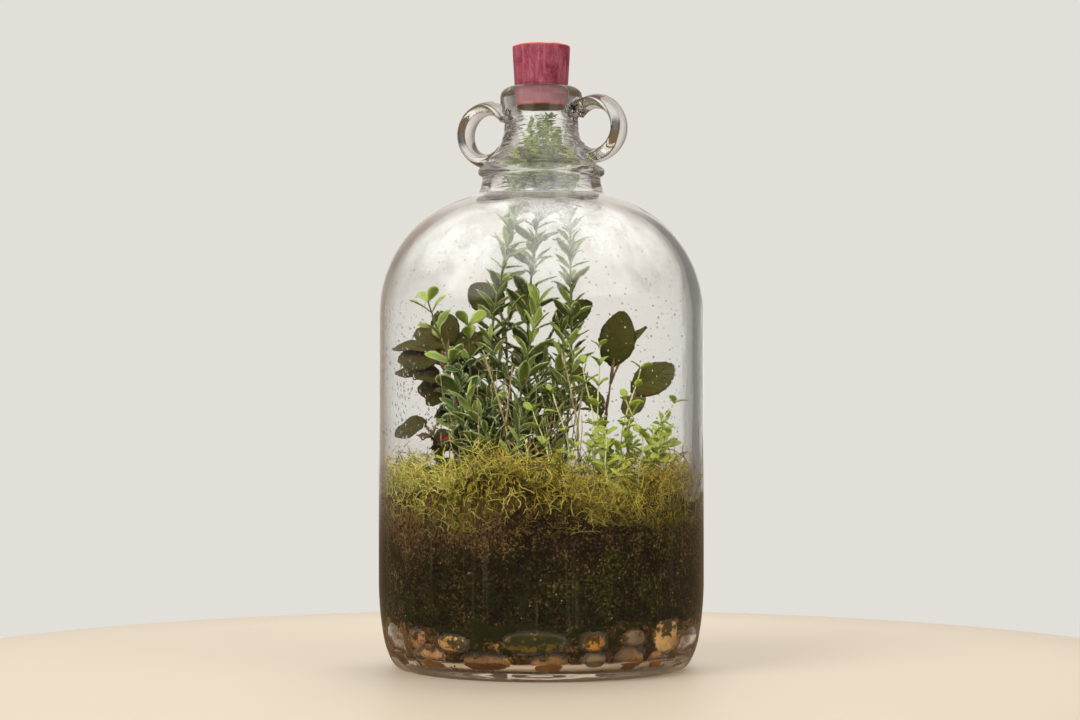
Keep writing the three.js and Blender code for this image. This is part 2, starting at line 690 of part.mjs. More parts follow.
const NERVE_STEM_RADIUS = 1.3;
const NERVE_STALK_RADIUS = 0.9;
const NERVE_PLANTS = [
  {
    root: [31, 22],
    tip: [38, 24, 150],
    bow: [1, 0],
    leaves: [
      { base: [38.4, 24, 157], tip: [45, 26, 187], width: 20, face: [0, -1, 0.25] },
      { base: [44, 25, 163], tip: [58, 26, 179], width: 10, face: [-0.3, -0.4, 0.8] },
      { base: [33, 24, 131], tip: [22, 38, 150], width: 13, face: [0, -0.5, 1] },
    ],
  },
  {
    root: [43, 5],
    tip: [47, 6, 139],
    bow: [2, 0],
    leaves: [
      { base: [48, 6, 143], tip: [72, 8, 157], width: 18, face: [0, -1, 0.4] },
      { base: [46, 10, 130], tip: [55, 30, 143], width: 13, face: [0, -0.4, 1] },
    ],
  },
  {
    root: [-16, 24],
    tip: [-19, 24, 183],
    bow: [1, 2],
    leaves: [
      { base: [-20, 24, 186], tip: [-38, 25, 201], width: 19, face: [-0.1, -1, 0.5] },
      { base: [-15, 27, 187], tip: [-1, 34, 200], width: 14, face: [0, -1, 0.6] },
      { base: [-20, 24, 170], tip: [-36, 22, 170], width: 15, face: [-0.2, -0.8, 0.7] },
      { base: [-14, 28, 158], tip: [0, 42, 166], width: 15, face: [0, -0.8, 0.7] },
    ],
  },
  {
    root: [3, 27],
    tip: [4, 24, 172],
    bow: [0, 2],
    leaves: [
      { base: [7, 22, 178], tip: [28, 22, 191], width: 15, face: [0, -1, 0.5] },
      { base: [8, 27, 148], tip: [24, 32, 157], width: 14, face: [0, -0.8, 0.8] },
    ],
  },
  {
    root: [-44, 4],
    tip: [-51, 6, 160],
    bow: [1, 0],
    leaves: [
      { base: [-53, 5, 162], tip: [-75, 1, 159], width: 17, face: [0, -0.9, 0.6] },
      { base: [-50, 9, 166], tip: [-66, 22, 177], width: 16, face: [0, -0.7, 0.8] },
      { base: [-48, 9, 154], tip: [-37, 24, 170], width: 15, face: [0, -0.8, 0.6] },
      { base: [-48, 9, 143], tip: [-66, 18, 146], width: 14, face: [0, -0.9, 0.6] },
    ],
  },
  {
    root: [-52, -7],
    tip: [-57, -3, 124],
    bow: [1, 0],
    leaves: [
      { base: [-59, -2, 128], tip: [-76, 1, 120], width: 14, face: [0, -0.8, 0.9] },
      { base: [-56, -7, 121], tip: [-60, -26, 119], width: 11, face: [0, -0.2, 1] },
    ],
  },
].map((plant, i) => {
  const path = new StemPath(plant.root, plant.tip, plant.bow);
  const leaves = plant.leaves.map((leaf) => ({
    base: seen(...leaf.base),
    tip: seen(...leaf.tip),
    face: seen(...leaf.face),
    width: leaf.width,
    arch: 0.05,
    fold: 0.08,
    thickness: 0.9,
    outline: BROAD_OUTLINE,
  }));
  return { ...plant, seed: 51 + i, path, leaves, stemRadius: NERVE_STEM_RADIUS };
});

// The leaf stalk of a broad leaf leaves the stem below the leaf and runs a little way into its rib.
function leafStalk(path, leaf) {
  const share = THREE.MathUtils.clamp((leaf.base.z - 7 - path.foot.z) / path.rise, path.free, 0.97);
  const from = path.getPoint(share);
  const into = onLeaf(leaf, 0.16, 0, 0);
  const bend = from.clone().lerp(leaf.base, 0.6);
  const line = new THREE.QuadraticBezierCurve3(from, bend, into);
  return rodAlong(line, NERVE_STALK_RADIUS, 3, 2);
}

function nervePlant(plant) {
  const stem = rodAlong(plant.path, NERVE_STEM_RADIUS, 4, 6);
  const leaves = plant.leaves.flatMap((leaf) => [leafStalk(plant.path, leaf), blade(leaf)]);
  return joined([stem, ...leaves]);
}

// Dry stalks: thin, bare and forked

const STALK_RADIUS = 0.7;
const DRY_STALKS = [
  { root: [-15, -34], tip: [-29, -39, 164], bow: [2, 0], fork: [-14, -43, 156], at: 0.5 },
  { root: [20, -17], tip: [9, -26, 170], bow: [2, 0], fork: [24, -14, 161], at: 0.45 },
].map((stalk, i) => ({
  ...stalk,
  seed: 71 + i,
  stemRadius: STALK_RADIUS,
  path: new StemPath(stalk.root, stalk.tip, stalk.bow),
}));

function forkLine(stalk) {
  const { point } = stalk.path.place(stalk.at);
  const end = seen(...stalk.fork);
  const bend = point.clone().lerp(end, 0.5).add(seen(0, 0, 4));
  return new THREE.QuadraticBezierCurve3(point, bend, end);
}

function dryStalk(stalk) {
  const main = rodAlong(stalk.path, STALK_RADIUS, 3, 6);
  return main.add(rodAlong(forkLine(stalk), STALK_RADIUS * 0.8, 3, 3));
}

// Strands of moss that stand up along the glass, as slim three-sided spikes

const STRAND_COUNT = 44;
const STRAND_RADIUS = 1.1;
const STRAND_ROOT = 3; // how far a strand goes down into the moss
const STRAND_STEM_ROOM = 5;
const STRAND_REACH_Z = 135; // a strand never comes up to what is above this

function mossStrands() {
  const random = seededRandom(91);
  const strands = [];
  for (let i = 0; i < STRAND_COUNT; i++) {
    const angle = radians((360 * (i + random())) / STRAND_COUNT);
    const radius = 62 + 14 * random();
    const height = 6 + 7 * random();
    const spin = random() * 6;
    const foot = seenRound(angle, radius, 0);
    const spike = new THREE.ConeGeometry(STRAND_RADIUS, height + STRAND_ROOT, 3, 1);
    spike.rotateX(Math.PI / 2);
    spike.rotateY((random() - 0.5) * 0.5);
    spike.rotateZ(spin);
    spike.translate(foot.x, foot.y, mossTop(foot.x, foot.y) + (height - STRAND_ROOT) / 2);
    const apart = crowd.every((ball) => {
      const away = Math.hypot(ball.point.x - foot.x, ball.point.y - foot.y);
      return away > ball.radius + STRAND_STEM_ROOM || ball.point.z > STRAND_REACH_Z;
    });
    if (apart) strands.push(solidOf(spike));
  }
  return strands;
}

// The straight square hole that a stem stands in
function rootHole({ path, stemRadius }) {
  const radius = (stemRadius + HOLE_CLEARANCE) * Math.SQRT2;
  const bottom = path.foot.z - GAP;
  const top = mossTop(path.foot.x, path.foot.y) + HOLE_HEADROOM;
  const hole = new THREE.CylinderGeometry(radius, radius, top - bottom, 4);
  hole.rotateX(Math.PI / 2);
  hole.translate(path.foot.x, path.foot.y, (top + bottom) / 2);
  return solidOf(hole);
}

// Materials

const LOOKS = {
  glass: { color: 0xdfe6e2, roughness: 0.05, transparent: true, opacity: 0.3 },
  rubber: { color: 0x9c3348, roughness: 0.8 },
  brown: { color: 0x6b4a2c, roughness: 0.6 },
  tan: { color: 0x9a744a, roughness: 0.6 },
  grey: { color: 0x6a6058, roughness: 0.6 },
  orange: { color: 0xa8702c, roughness: 0.6 },
  cream: { color: 0xc4a878, roughness: 0.6 },
  pink: { color: 0xa3674f, roughness: 0.6 },
  olive: { color: 0x5d521a, roughness: 0.6 },
  soil: { color: 0x2a2016, roughness: 0.95 },
  moss: { color: 0x6c7023, roughness: 0.95 },
  shrub: { color: 0x3d5b2c, roughness: 0.55 },
  seedling: { color: 0x93b23c, roughness: 0.5 },
  nerve: { color: 0x4a4f22, roughness: 0.5 },
  straw: { color: 0xa38f5e, roughness: 0.8 },
};

// The whole

const root = new THREE.Group();

function addNode(name, solid, look) {
  const material = new THREE.MeshStandardMaterial({ metalness: 0, ...LOOKS[look] });
  const mesh = new THREE.Mesh(geometryOf(solid), material);
  mesh.name = name;
  root.add(mesh);
}

function numbered(name, i) {
  return name + "_" + String(i + 1).padStart(2, "0");
}

const insideGap = bottleInside(GAP);
const bed = pebbleBed();
const pebbles = dropPebbles(insideGap, bed);

const fixedPlants = [...NERVE_PLANTS, ...DRY_STALKS];
const allPlants = [...fixedPlants, ...LEAFY_STEMS];
allPlants.forEach((plant) => crowdStem(plant.seed, plant.path, plant.stemRadius));
for (const plant of NERVE_PLANTS) {
  for (const leaf of plant.leaves) {
    crowd.push(...ballsOf(leaf).map((ball) => ({ ...ball, owner: plant.seed })));
  }
}
for (const stalk of DRY_STALKS) {
  const line = forkLine(stalk).getPoints(10);
  crowd.push(...line.map((point) => ({ owner: stalk.seed, point, radius: STALK_RADIUS })));
}
LEAFY_STEMS.forEach(placePairedLeaves);

const holes = joined(allPlants.map(rootHole));
const prints = joined(pebbles.map((solid) => swollen(solid, 1.5 * GAP)));
const soilSlab = new THREE.CylinderGeometry(BODY_RADIUS, BODY_RADIUS, SOIL_TOP_Z - SOIL_BOTTOM_Z, 8);
soilSlab.rotateX(Math.PI / 2);
soilSlab.translate(0, 0, (SOIL_TOP_Z + SOIL_BOTTOM_Z) / 2);
const soil = largestBody(solidOf(soilSlab).intersect(insideGap).subtract(prints).subtract(holes));

const mossMat = joined([mossSlab(MOSS_COLUMNS, MOSS_RINGS), ...mossStrands()]);
const moss = largestBody(mossMat.intersect(insideGap).subtract(holes));

addNode("bottle_glass", bottle(), "glass");
addNode("stopper", stopper(), "rubber");
pebbles.forEach((solid, i) => addNode(numbered("pebble", i), solid, PEBBLES[i].kind));
addNode("pebble_bed", bed, "brown");
addNode("soil", soil, "soil");
addNode("moss", moss, "moss");
NERVE_PLANTS.forEach((plant, i) => addNode(numbered("nerve_plant", i), nervePlant(plant), "nerve"));
DRY_STALKS.forEach((stalk, i) => addNode(numbered("dry_stalk", i), dryStalk(stalk), "straw"));
for (const kind of ["shrub", "seedling"]) {
  const stems = LEAFY_STEMS.filter((plant) => plant.kind === kind);
  stems.forEach((plant, i) => addNode(numbered(kind, i), leafyStem(plant), kind));
}

export default root;
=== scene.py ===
"""Looks of the bottle garden: a clear glass demijohn with ring handles, planted over pebbles, soil and moss.

Sizes of the named parts are in millimetres, as in the part's own source, and become metres in the meshes.
The planting is described as it is seen from the front, which is turned VIEW_TURN round the bottle from the
-Y side: u runs to the right, v runs away and z runs up.
"""

import json
from math import acos, atan2, cos, degrees, exp, hypot, pi, radians, sin

import bmesh
import bpy
import numpy as np
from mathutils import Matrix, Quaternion, Vector, noise

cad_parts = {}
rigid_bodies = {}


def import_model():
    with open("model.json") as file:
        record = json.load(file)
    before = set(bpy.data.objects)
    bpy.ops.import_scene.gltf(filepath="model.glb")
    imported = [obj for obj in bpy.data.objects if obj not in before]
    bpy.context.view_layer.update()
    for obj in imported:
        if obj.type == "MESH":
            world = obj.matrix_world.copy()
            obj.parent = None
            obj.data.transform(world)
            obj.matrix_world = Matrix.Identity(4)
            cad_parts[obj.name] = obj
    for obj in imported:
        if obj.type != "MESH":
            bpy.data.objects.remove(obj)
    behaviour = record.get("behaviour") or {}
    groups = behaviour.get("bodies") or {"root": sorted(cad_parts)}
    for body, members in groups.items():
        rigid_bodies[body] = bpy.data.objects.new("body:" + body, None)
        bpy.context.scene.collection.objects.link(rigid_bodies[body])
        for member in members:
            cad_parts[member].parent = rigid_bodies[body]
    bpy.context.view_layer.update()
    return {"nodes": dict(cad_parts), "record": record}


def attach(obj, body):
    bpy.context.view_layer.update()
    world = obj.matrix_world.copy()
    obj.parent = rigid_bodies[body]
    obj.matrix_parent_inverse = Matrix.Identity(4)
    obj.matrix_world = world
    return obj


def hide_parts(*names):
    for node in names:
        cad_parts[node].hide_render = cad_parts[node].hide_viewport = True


bl_info = {
    "name": "Bottle Garden", "version": (1, 0, 0), "blender": (4, 5, 0),
    "location": "3D Viewport > Sidebar > Garden",
    "description": "A stoppered glass bottle garden with pebbles, soil, moss and leafy stems",
    "category": "Add Mesh"
}

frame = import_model()
NODES = sorted(frame["nodes"])
SLOT_OF = {part["node"]: part["material_slot"] for part in frame["record"]["subparts"]}
MM = 0.001

# Sizes of the bottle and its filling

VIEW_TURN = radians(28)
BODY_RADIUS = 84.5
WALL = 4
WALL_DRIFT = 1.3
HEEL_HEIGHT = 36
FLOOR_Z = 9.5
SHOULDER_Z = 181
SHOULDER_RISE = 65.5
SHOULDER_CENTRE_RADIUS = 20.7
SHOULDER_POWER = 2.1
NECK_ROOT_RADIUS = 30.3
BEAD_RADIUS = 32.9
BEAD_Z = 257.9
NECK_Z = 254
WAIST_RADIUS = 19
WAIST_Z = 283
LIP_RADIUS = 21.5
LIP_TOP_Z = 302
BORE_RADIUS = 13.9
RING_X = 31.4
RING_Z = 279
RING_RADIUS = 14
RING_THICKNESS = 7.6
RING_WIDTH = 16.4
RING_HALF_SWEEP = radians(150)
STOPPER_BOTTOM_Z = 291.3
STOPPER_LIFT = 1.2
STOPPER_TOP_Z = 323.4
STOPPER_BOTTOM_RADIUS = 13.4
STOPPER_TOP_RADIUS = 15.1
SOIL_BOTTOM_Z = 27
SOIL_TOP_Z = 77
MOSS_MIDDLE_Z = 87
MOSS_WALL_Z = 109
ROOT_DEPTH = 5
PEBBLE_PRESS = 1.3
STONE_FLOOR_Z = 6.8
SILT_BOTTOM_Z = 9.8
SILT_STEP = 1.2
SILT_ROWS = 20
JOIN_REACH = (262, 299)
JOIN_WIDTH = 5.5
JOIN_CREASE = 0.35
SHARP_FROM = radians(50)
MIST_REACH = (182, 288)
DROPS_REACH = (114, 246)
PRESSED_REACH = (72, 100)
SOAK = -0.2


# Places seen from the front


def seen(u, v, z):
    along, off = cos(VIEW_TURN), sin(VIEW_TURN)
    return Vector((u * along - v * off, u * off + v * along, z))


def seen_round(angle, radius, z):
    return seen(radius * sin(angle), -radius * cos(angle), z)


def way_at(angle, z=0):
    """A way at an angle from the X axis, with a rise."""
    return Vector((cos(angle), sin(angle), z))


def bearing_of(x, y):
    """The angle to the right of the front at which a place lies, in radians."""
    return atan2(y, x) + pi / 2 - VIEW_TURN


def smoothstep(x, low, high):
    t = min(1.0, max(0.0, (x - low) / (high - low)))
    return t * t * (3 - 2 * t)


def lerp(a, b, t):
    return a + (b - a) * t


# Profiles of the glass


def shoulder_curve(side_radius, rise, end_radius, steps):
    reach = side_radius - SHOULDER_CENTRE_RADIUS
    end_angle = acos(((end_radius - SHOULDER_CENTRE_RADIUS) / reach) ** (SHOULDER_POWER / 2))
    points = []
    for i in range(steps + 1):
        angle = end_angle * i / steps
        across = cos(angle) ** (2 / SHOULDER_POWER)
        up = sin(angle) ** (2 / SHOULDER_POWER)
        points.append((SHOULDER_CENTRE_RADIUS + reach * across, SHOULDER_Z + rise * up))
    return points


def rounded(points, rounds):
    """The line with its corners cut off again and again, and with its ends kept."""
    for _ in range(rounds):
        cut = [points[0]]
        for (r0, z0), (r1, z1) in zip(points, points[1:]):
            cut.append((lerp(r0, r1, 0.25), lerp(z0, z1, 0.25)))
            cut.append((lerp(r0, r1, 0.75), lerp(z0, z1, 0.75)))
        points = [*cut, points[-1]]
    return points


def outside_profile():
    return rounded(
        [
            (0, 4), (60, 1.2), (64, 0), (71.5, 0), (75.6, 1.2), (78.6, 5.5), (82, 15),
            (BODY_RADIUS, HEEL_HEIGHT), (BODY_RADIUS, HEEL_HEIGHT + 20), (BODY_RADIUS, SHOULDER_Z - 20),
            *shoulder_curve(BODY_RADIUS, SHOULDER_RISE, 33, 16), (NECK_ROOT_RADIUS, BEAD_Z - 3.1),
            (BEAD_RADIUS, BEAD_Z - 1.4), (BEAD_RADIUS + 0.3, BEAD_Z), (BEAD_RADIUS, BEAD_Z + 1.4),
            (NECK_ROOT_RADIUS - 0.4, BEAD_Z + 3.4), (25.8, 266), (20.8, 272), (WAIST_RADIUS, WAIST_Z),
            (WAIST_RADIUS + 0.6, 288.5), (LIP_RADIUS, 293.4), (LIP_RADIUS, 298.6),
            (LIP_RADIUS - 2.6, LIP_TOP_Z - 0.6), (LIP_RADIUS - 5, LIP_TOP_Z), (LIP_RADIUS - 8, LIP_TOP_Z),
            (0, LIP_TOP_Z)
        ],
        2
    )


NECK_INSIDE = [(25.8, 258), (18.4, 269), (BORE_RADIUS, WAIST_Z - 4), (BORE_RADIUS, STOPPER_BOTTOM_Z + 2)]


def inside_profile():
    inner = BODY_RADIUS - WALL
    mouth = STOPPER_BOTTOM_RADIUS + 0.95
    return rounded(
        [
            (0, FLOOR_Z - 0.5), (60, 6.2), (70, 6.4), (76, 9.6), (79.4, 18), (inner, HEEL_HEIGHT - 4),
            (inner, HEEL_HEIGHT + 20), (inner, SHOULDER_Z - 20),
            *shoulder_curve(inner, SHOULDER_RISE - WALL, 26.8, 14), *NECK_INSIDE, (mouth, LIP_TOP_Z - 1.2),
            (mouth + 1.2, LIP_TOP_Z + 4), (0, LIP_TOP_Z + 4)
        ],
        2
    )


def wall_of(profile):
    """The part of a profile outside its floor that rises steadily, as arrays of heights and radii."""
    first = next(i for i, (radius, _) in enumerate(profile) if radius > 66)
    rising = [profile[first]]
    for radius, z in profile[first + 1 :]:
        if radius > 0 and z > rising[-1][1] + 1e-6:
            rising.append((radius, z))
    return np.array([z for _, z in rising]), np.array([r for r, _ in rising])


INSIDE = inside_profile()
WALL_Z, WALL_R = wall_of(INSIDE)


def inner_radius(z):
    return float(np.interp(z, WALL_Z, WALL_R))


def drift_share(z):
    above = smoothstep(z, HEEL_HEIGHT * 0.4, HEEL_HEIGHT)
    return above * (1 - smoothstep(z, SHOULDER_Z, SHOULDER_Z + SHOULDER_RISE * 0.8))


DRIFT = seen(-WALL_DRIFT, 0, 0)


def drift_at(z):
    """How far the inside of the glass lies off the axis at a height."""
    share = drift_share(z)
    return DRIFT.x * share, DRIFT.y * share


def wall_point(angle, z, inset):
    """A place on the inside of the glass, moved inwards by inset."""
    place, (dx, dy) = seen_round(angle, inner_radius(z) - inset, z), drift_at(z)
    return Vector((place.x + dx, place.y + dy, z))


def kept_inside(place, room):
    """The place, brought in where it is nearer to the glass than room."""
    dx, dy = drift_at(place.z)
    x, y = place.x - dx, place.y - dy
    pull = (inner_radius(place.z) - room) / max(hypot(x, y), 0.001)
    return place if pull >= 1 else Vector((x * pull + dx, y * pull + dy, place.z))


# The planting rule: the same seeds and steps as the part's source, so that leaves lie where their solids do


def seeded_random(seed):
    state = (seed * 2654435761 + 12345) & 0xFFFFFFFF

    def step():
        nonlocal state
        state = (state * 1664525 + 1013904223) & 0xFFFFFFFF
        return state / 4294967296

    return step


def unevenness(x, y):
    return sin(x * 0.09 + 1.3) * cos(y * 0.11 - 0.6) + 0.5 * sin(x * 0.05 - y * 0.17)


def bell(angle, centre, width):
    away = (angle - centre + 180) % 360 - 180
    return exp(-(away * away) / (width * width))


def moss_rim(angle):
    ripple = 1.6 * sin(radians(angle * 9)) + 1.2 * sin(radians(angle * 14 + 50))
    swell = 7 * bell(angle, -14, 15) - 20 * bell(angle, 34, 17) - 6 * bell(angle, 180, 60)
    return MOSS_WALL_Z + swell + ripple


def moss_top(x, y):
    angle = degrees(bearing_of(x, y))
    wall = smoothstep(hypot(x, y), 40, BODY_RADIUS - WALL)
    return MOSS_MIDDLE_Z + (moss_rim(angle) - MOSS_MIDDLE_Z) * wall + 1.2 * unevenness(1.9 * x, 1.9 * y)


# The inside of the solid glass, which the planting rule measures its room from
SOLID_INSIDE = [
    (74, 12), (78.6, 21), (BODY_RADIUS - WALL, HEEL_HEIGHT),
    *shoulder_curve(BODY_RADIUS - WALL, SHOULDER_RISE - WALL, 26.8, 6), *NECK_INSIDE
]
SOLID_RADII, SOLID_HEIGHTS = zip(*SOLID_INSIDE)


def solid_inner_radius(z):
    return float(np.interp(z, SOLID_HEIGHTS, SOLID_RADII))


class StemPath:
    """A stem that rises straight out of the ground, and then leans and sways over to its tip."""

    def __init__(self, root, tip, bow):
        self.foot = seen(root[0], root[1], SOIL_TOP_Z - ROOT_DEPTH)
        self.tip = seen(*tip)
        self.bow = seen(bow[0], bow[1], 0)
        self.rise = self.tip.z - self.foot.z
        self.free = (moss_top(self.foot.x, self.foot.y) + 1 - self.foot.z) / self.rise

    def point(self, t):
        s = max(0.0, (t - self.free) / (1 - self.free))
        lean, sway = s**1.6, sin(pi * s) ** 2
        return Vector((
            self.foot.x + (self.tip.x - self.foot.x) * lean + self.bow.x * sway,
            self.foot.y + (self.tip.y - self.foot.y) * lean + self.bow.y * sway, self.foot.z + self.rise * t
        ))

    def place(self, share):
        t = self.free + (1 - self.free) * share
        return self.point(t), (self.point(t) - self.point(t - 0.02)).normalized()

    def share_at(self, z):
        return ((z - self.foot.z) / self.rise - self.free) / (1 - self.free)


class Leaf:
    """A leaf: its base and tip, the side its upper face looks to, its width, and how it arches and folds."""

    def __init__(self, base, tip, face, width, arch, fold):
        self.base, self.tip, self.face = base, tip, face
        self.width, self.arch, self.fold = width, arch, fold
        self.along = (tip - base).normalized()
        self.length = (tip - base).length
        self.across = face.cross(self.along).normalized()
        self.up = self.along.cross(self.across)

    def at(self, share, side, height=0.0):
        arch = self.arch * self.length * 4 * share * (1 - share)
        lift = height + arch + self.fold * abs(side)
        return self.base + self.along * (share * self.length) + self.across * side + self.up * lift


class Crowd:
    """Every stem and leaf as a row of balls, so that new leaves stay clear of what is there."""

    spacing, glass, moss, stopper = 0.7, 2.2, 0.9, 1.5

    def __init__(self):
        self.centres, self.radii, self.owners = [], [], []

    def add(self, owner, balls):
        for centre, radius in balls:
            self.centres.append(tuple(centre))
            self.radii.append(radius)
            self.owners.append(owner)

    def packed(self):
        return np.array(self.centres), np.array(self.radii), np.array(self.owners)

    def clear_of_walls(self, balls):
        for centre, radius in balls:
            if solid_inner_radius(centre.z) - hypot(centre.x, centre.y) < radius + self.glass:
                return False
            if centre.z - moss_top(centre.x, centre.y) < radius + self.moss:
                return False
            if centre.z + radius > STOPPER_BOTTOM_Z - self.stopper:
                return False
        return True

    def has_room(self, owner, balls, packed):
        if not self.clear_of_walls(balls):
            return False
        centres, radii, owners = packed
        others = owners != owner
        for centre, radius in balls:
            away = np.linalg.norm(centres[others] - np.array(centre), axis=1)
            if np.any(away <= radii[others] + radius + self.spacing):
                return False
        return True


def broad_leaf(base, tip, width, face):
    return Leaf(seen(*base), seen(*tip), seen(*face), width, 0.05, 0.08)


def balls_of(leaf):
    wide = leaf.width > 11
    half = leaf.width / 2 * (0.42 if wide else 0.84)
    balls = []
    for share in (0.3, 0.62, 0.96):
        sides = [0.0] if share > 0.9 or not wide else [-0.58, 0.0, 0.58]
        radius = 0.9 if share > 0.9 else half
        balls += [(leaf.at(share, side * leaf.width / 2), radius) for side in sides]
    return balls


TURNS = [radians(a) for a in (0, 20, -20, 40, -40, 60, -60, 80, -80)]
SHRINKS = (1, 0.78, 0.6)

SHRUB = dict(
    kind="shrub", outline="lance", low_lift=0.45, top_lift=0.95, low_leaf=20, top_leaf=12.5, leaf_shape=0.38,
    arch=0.07, roll=1.4, stem_radius=1.0
)
VARIEGATED = {
    **SHRUB, "outline": "spoon", "leaf_shape": 0.5, "low_leaf": 17, "top_leaf": 12, "top_lift": 0.7,
    "roll": 2
}
SEEDLING = dict(
    kind="seedling", outline="oval", low_lift=0.15, top_lift=0.6, low_leaf=9, top_leaf=7, leaf_shape=0.6,
    arch=0.1, roll=1.4, stem_radius=0.7
)

# The leafy stems: kind, seed, root, tip, bow, pairs of leaves, where the first sits, and their own settings
LEAFY_STEMS = [
    (SHRUB, 3, (-5, 8), (4, 3, 287), (-4, 3), 12, 0.26, dict(stem_radius=1.2)),
    (SHRUB, 4, (-25, 8), (-11, 3, 257), (-5, 2), 9, 0.3, dict(low_leaf=17)),
    (SHRUB, 5, (13, 10), (15, 4, 257), (3, 3), 9, 0.3, dict(low_leaf=17)),
    (SHRUB, 6, (-9, -18), (-1, -17, 190), (-4, -2), 7, 0.15),
    (VARIEGATED, 7, (-40, -24), (-57, -30, 190), (5, 0), 6, 0.22),
    (VARIEGATED, 8, (-30, -12), (-37, -17, 178), (-3, 0), 5, 0.2),
    (SHRUB, 9, (-24, -31), (-36, -37, 138), (4, 0), 4, 0.3, dict(low_leaf=20)),
    (SHRUB, 10, (5, -6), (13, -9, 168), (-2, 0), 5, 0.25),
    (SEEDLING, 31, (12, -36), (6, -41, 143), (4, 0), 4, 0.45),
    (SEEDLING, 32, (3, -42), (-4, -47, 134), (3, 0), 4, 0.4),
    (SEEDLING, 33, (33, -22), (30, -25, 167), (-3, 0), 6, 0.35),
    (SEEDLING, 34, (26, -33), (21, -37, 158), (3, 0), 5, 0.4),
    (SEEDLING, 35, (43, -18), (51, -22, 156), (-4, 0), 5, 0.4),
    (SEEDLING, 36, (49, -33), (42, -40, 140), (4, 0), 4, 0.35),
    (SEEDLING, 37, (56, -10), (68, -20, 138), (-4, 0), 3, 0.5),
    (SEEDLING, 38, (35, -46), (32, -52, 122), (-2, 0), 4, 0.3, dict(low_leaf=11)),
    (SEEDLING, 39, (60, -27), (63, -31, 122), (1, 0), 3, 0.4, dict(low_leaf=10))
]


def leafy_stem(kind, seed, root, tip, bow, pairs, first_leaf, own=None):
    placed = dict(seed=seed, path=StemPath(root, tip, bow), bearing=VIEW_TURN + (seed % 5) * 0.3)
    return {**kind, **placed, "pairs": pairs, "first_leaf": first_leaf, **(own or {})}


# The nerve plants: root, tip, bow, and for each leaf its base, tip, width and upper face
NERVE_PLANTS = [
    ((31, 22), (38, 24, 150), (1, 0), [
        ((38.4, 24, 157), (45, 26, 187), 20, (0, -1, 0.25)),
        ((44, 25, 163), (58, 26, 179), 10, (-0.3, -0.4, 0.8)),
        ((33, 24, 131), (22, 38, 150), 13, (0, -0.5, 1)),
    ]),
    ((43, 5), (47, 6, 139), (2, 0), [
        ((48, 6, 143), (72, 8, 157), 18, (0, -1, 0.4)),
        ((46, 10, 130), (55, 30, 143), 13, (0, -0.4, 1)),
    ]),
    ((-16, 24), (-19, 24, 183), (1, 2), [
        ((-20, 24, 186), (-38, 25, 201), 19, (-0.1, -1, 0.5)),
        ((-15, 27, 187), (-1, 34, 200), 14, (0, -1, 0.6)),
        ((-20, 24, 170), (-36, 22, 170), 15, (-0.2, -0.8, 0.7)),
        ((-14, 28, 158), (0, 42, 166), 15, (0, -0.8, 0.7)),
    ]),
    ((3, 27), (4, 24, 172), (0, 2), [
        ((7, 22, 178), (28, 22, 191), 15, (0, -1, 0.5)),
        ((8, 27, 148), (24, 32, 157), 14, (0, -0.8, 0.8)),
    ]),
    ((-44, 4), (-51, 6, 160), (1, 0), [
        ((-53, 5, 162), (-75, 1, 159), 17, (0, -0.9, 0.6)),
        ((-50, 9, 166), (-66, 22, 177), 16, (0, -0.7, 0.8)),
        ((-48, 9, 154), (-37, 24, 170), 15, (0, -0.8, 0.6)),
        ((-48, 9, 143), (-66, 18, 146), 14, (0, -0.9, 0.6)),
    ]),
    ((-52, -7), (-57, -3, 124), (1, 0), [
        ((-59, -2, 128), (-76, 1, 120), 14, (0, -0.8, 0.9)),
        ((-56, -7, 121), (-60, -26, 119), 11, (0, -0.2, 1)),
    ]),
]
NERVE_STEM_RADIUS = 1.3

# Leaves that only the looks have, on the nerve plants to the left and behind: plant, base, tip, width, face
LOW_NERVE_LEAVES = [
    (4, (-46, 12, 158), (-58, 24, 166), 12, (0, -0.9, 0.5)),
    (4, (-47, 11, 138), (-34, 26, 134), 12, (0, -0.8, 0.7)),
    (4, (-50, 6, 150), (-66, -8, 150), 11, (0, -0.7, 0.8)),
    (5, (-55, 4, 116), (-44, 22, 122), 12, (0, -0.9, 0.5)),
    (5, (-56, -6, 114), (-46, -22, 116), 10, (0.2, -0.6, 0.8)),
    (4, (-54, 8, 166), (-78, 4, 166), 12, (0.1, -0.5, 0.9)),
    (4, (-52, 6, 154), (-77, 8, 153), 13, (0, -0.6, 0.8)),
    (4, (-47, 12, 168), (-54, 18, 187), 16, (0.1, -0.9, 0.2)),
    (4, (-45, 8, 146), (-60, 2, 137), 13, (0, -0.8, 0.6)),
    (4, (-44, 14, 152), (-30, 24, 158), 15, (0, -0.9, 0.4)),
    (4, (-46, 10, 162), (-30, 22, 174), 16, (0, -0.9, 0.3)),
    (5, (-54, 2, 128), (-40, 16, 134), 13, (0, -0.9, 0.4)),
    (2, (-18, 26, 152), (-37, 30, 158), 16, (0, -0.7, 0.7)),
    (2, (-19, 26, 140), (-40, 33, 140), 16, (0.2, -0.8, 0.5)),
    (2, (-15, 28, 132), (1, 40, 138), 15, (0, -0.8, 0.6)),
    (3, (5, 26, 160), (-13, 36, 164), 16, (0, -0.8, 0.6)),
    (3, (3, 27, 136), (20, 38, 140), 15, (0, -0.7, 0.7)),
]

# The dry stalks: root, tip, bow, end of the fork, and where along the stalk it leaves
DRY_STALKS = [
    ((-15, -34), (-29, -39, 164), (2, 0), (-14, -43, 156), 0.5),
    ((20, -17), (9, -26, 170), (2, 0), (24, -14, 161), 0.45),
]
STALK_RADIUS = 0.7


def bezier(a, b, c, t):
    return a * (1 - t) ** 2 + b * (2 * t * (1 - t)) + c * t**2


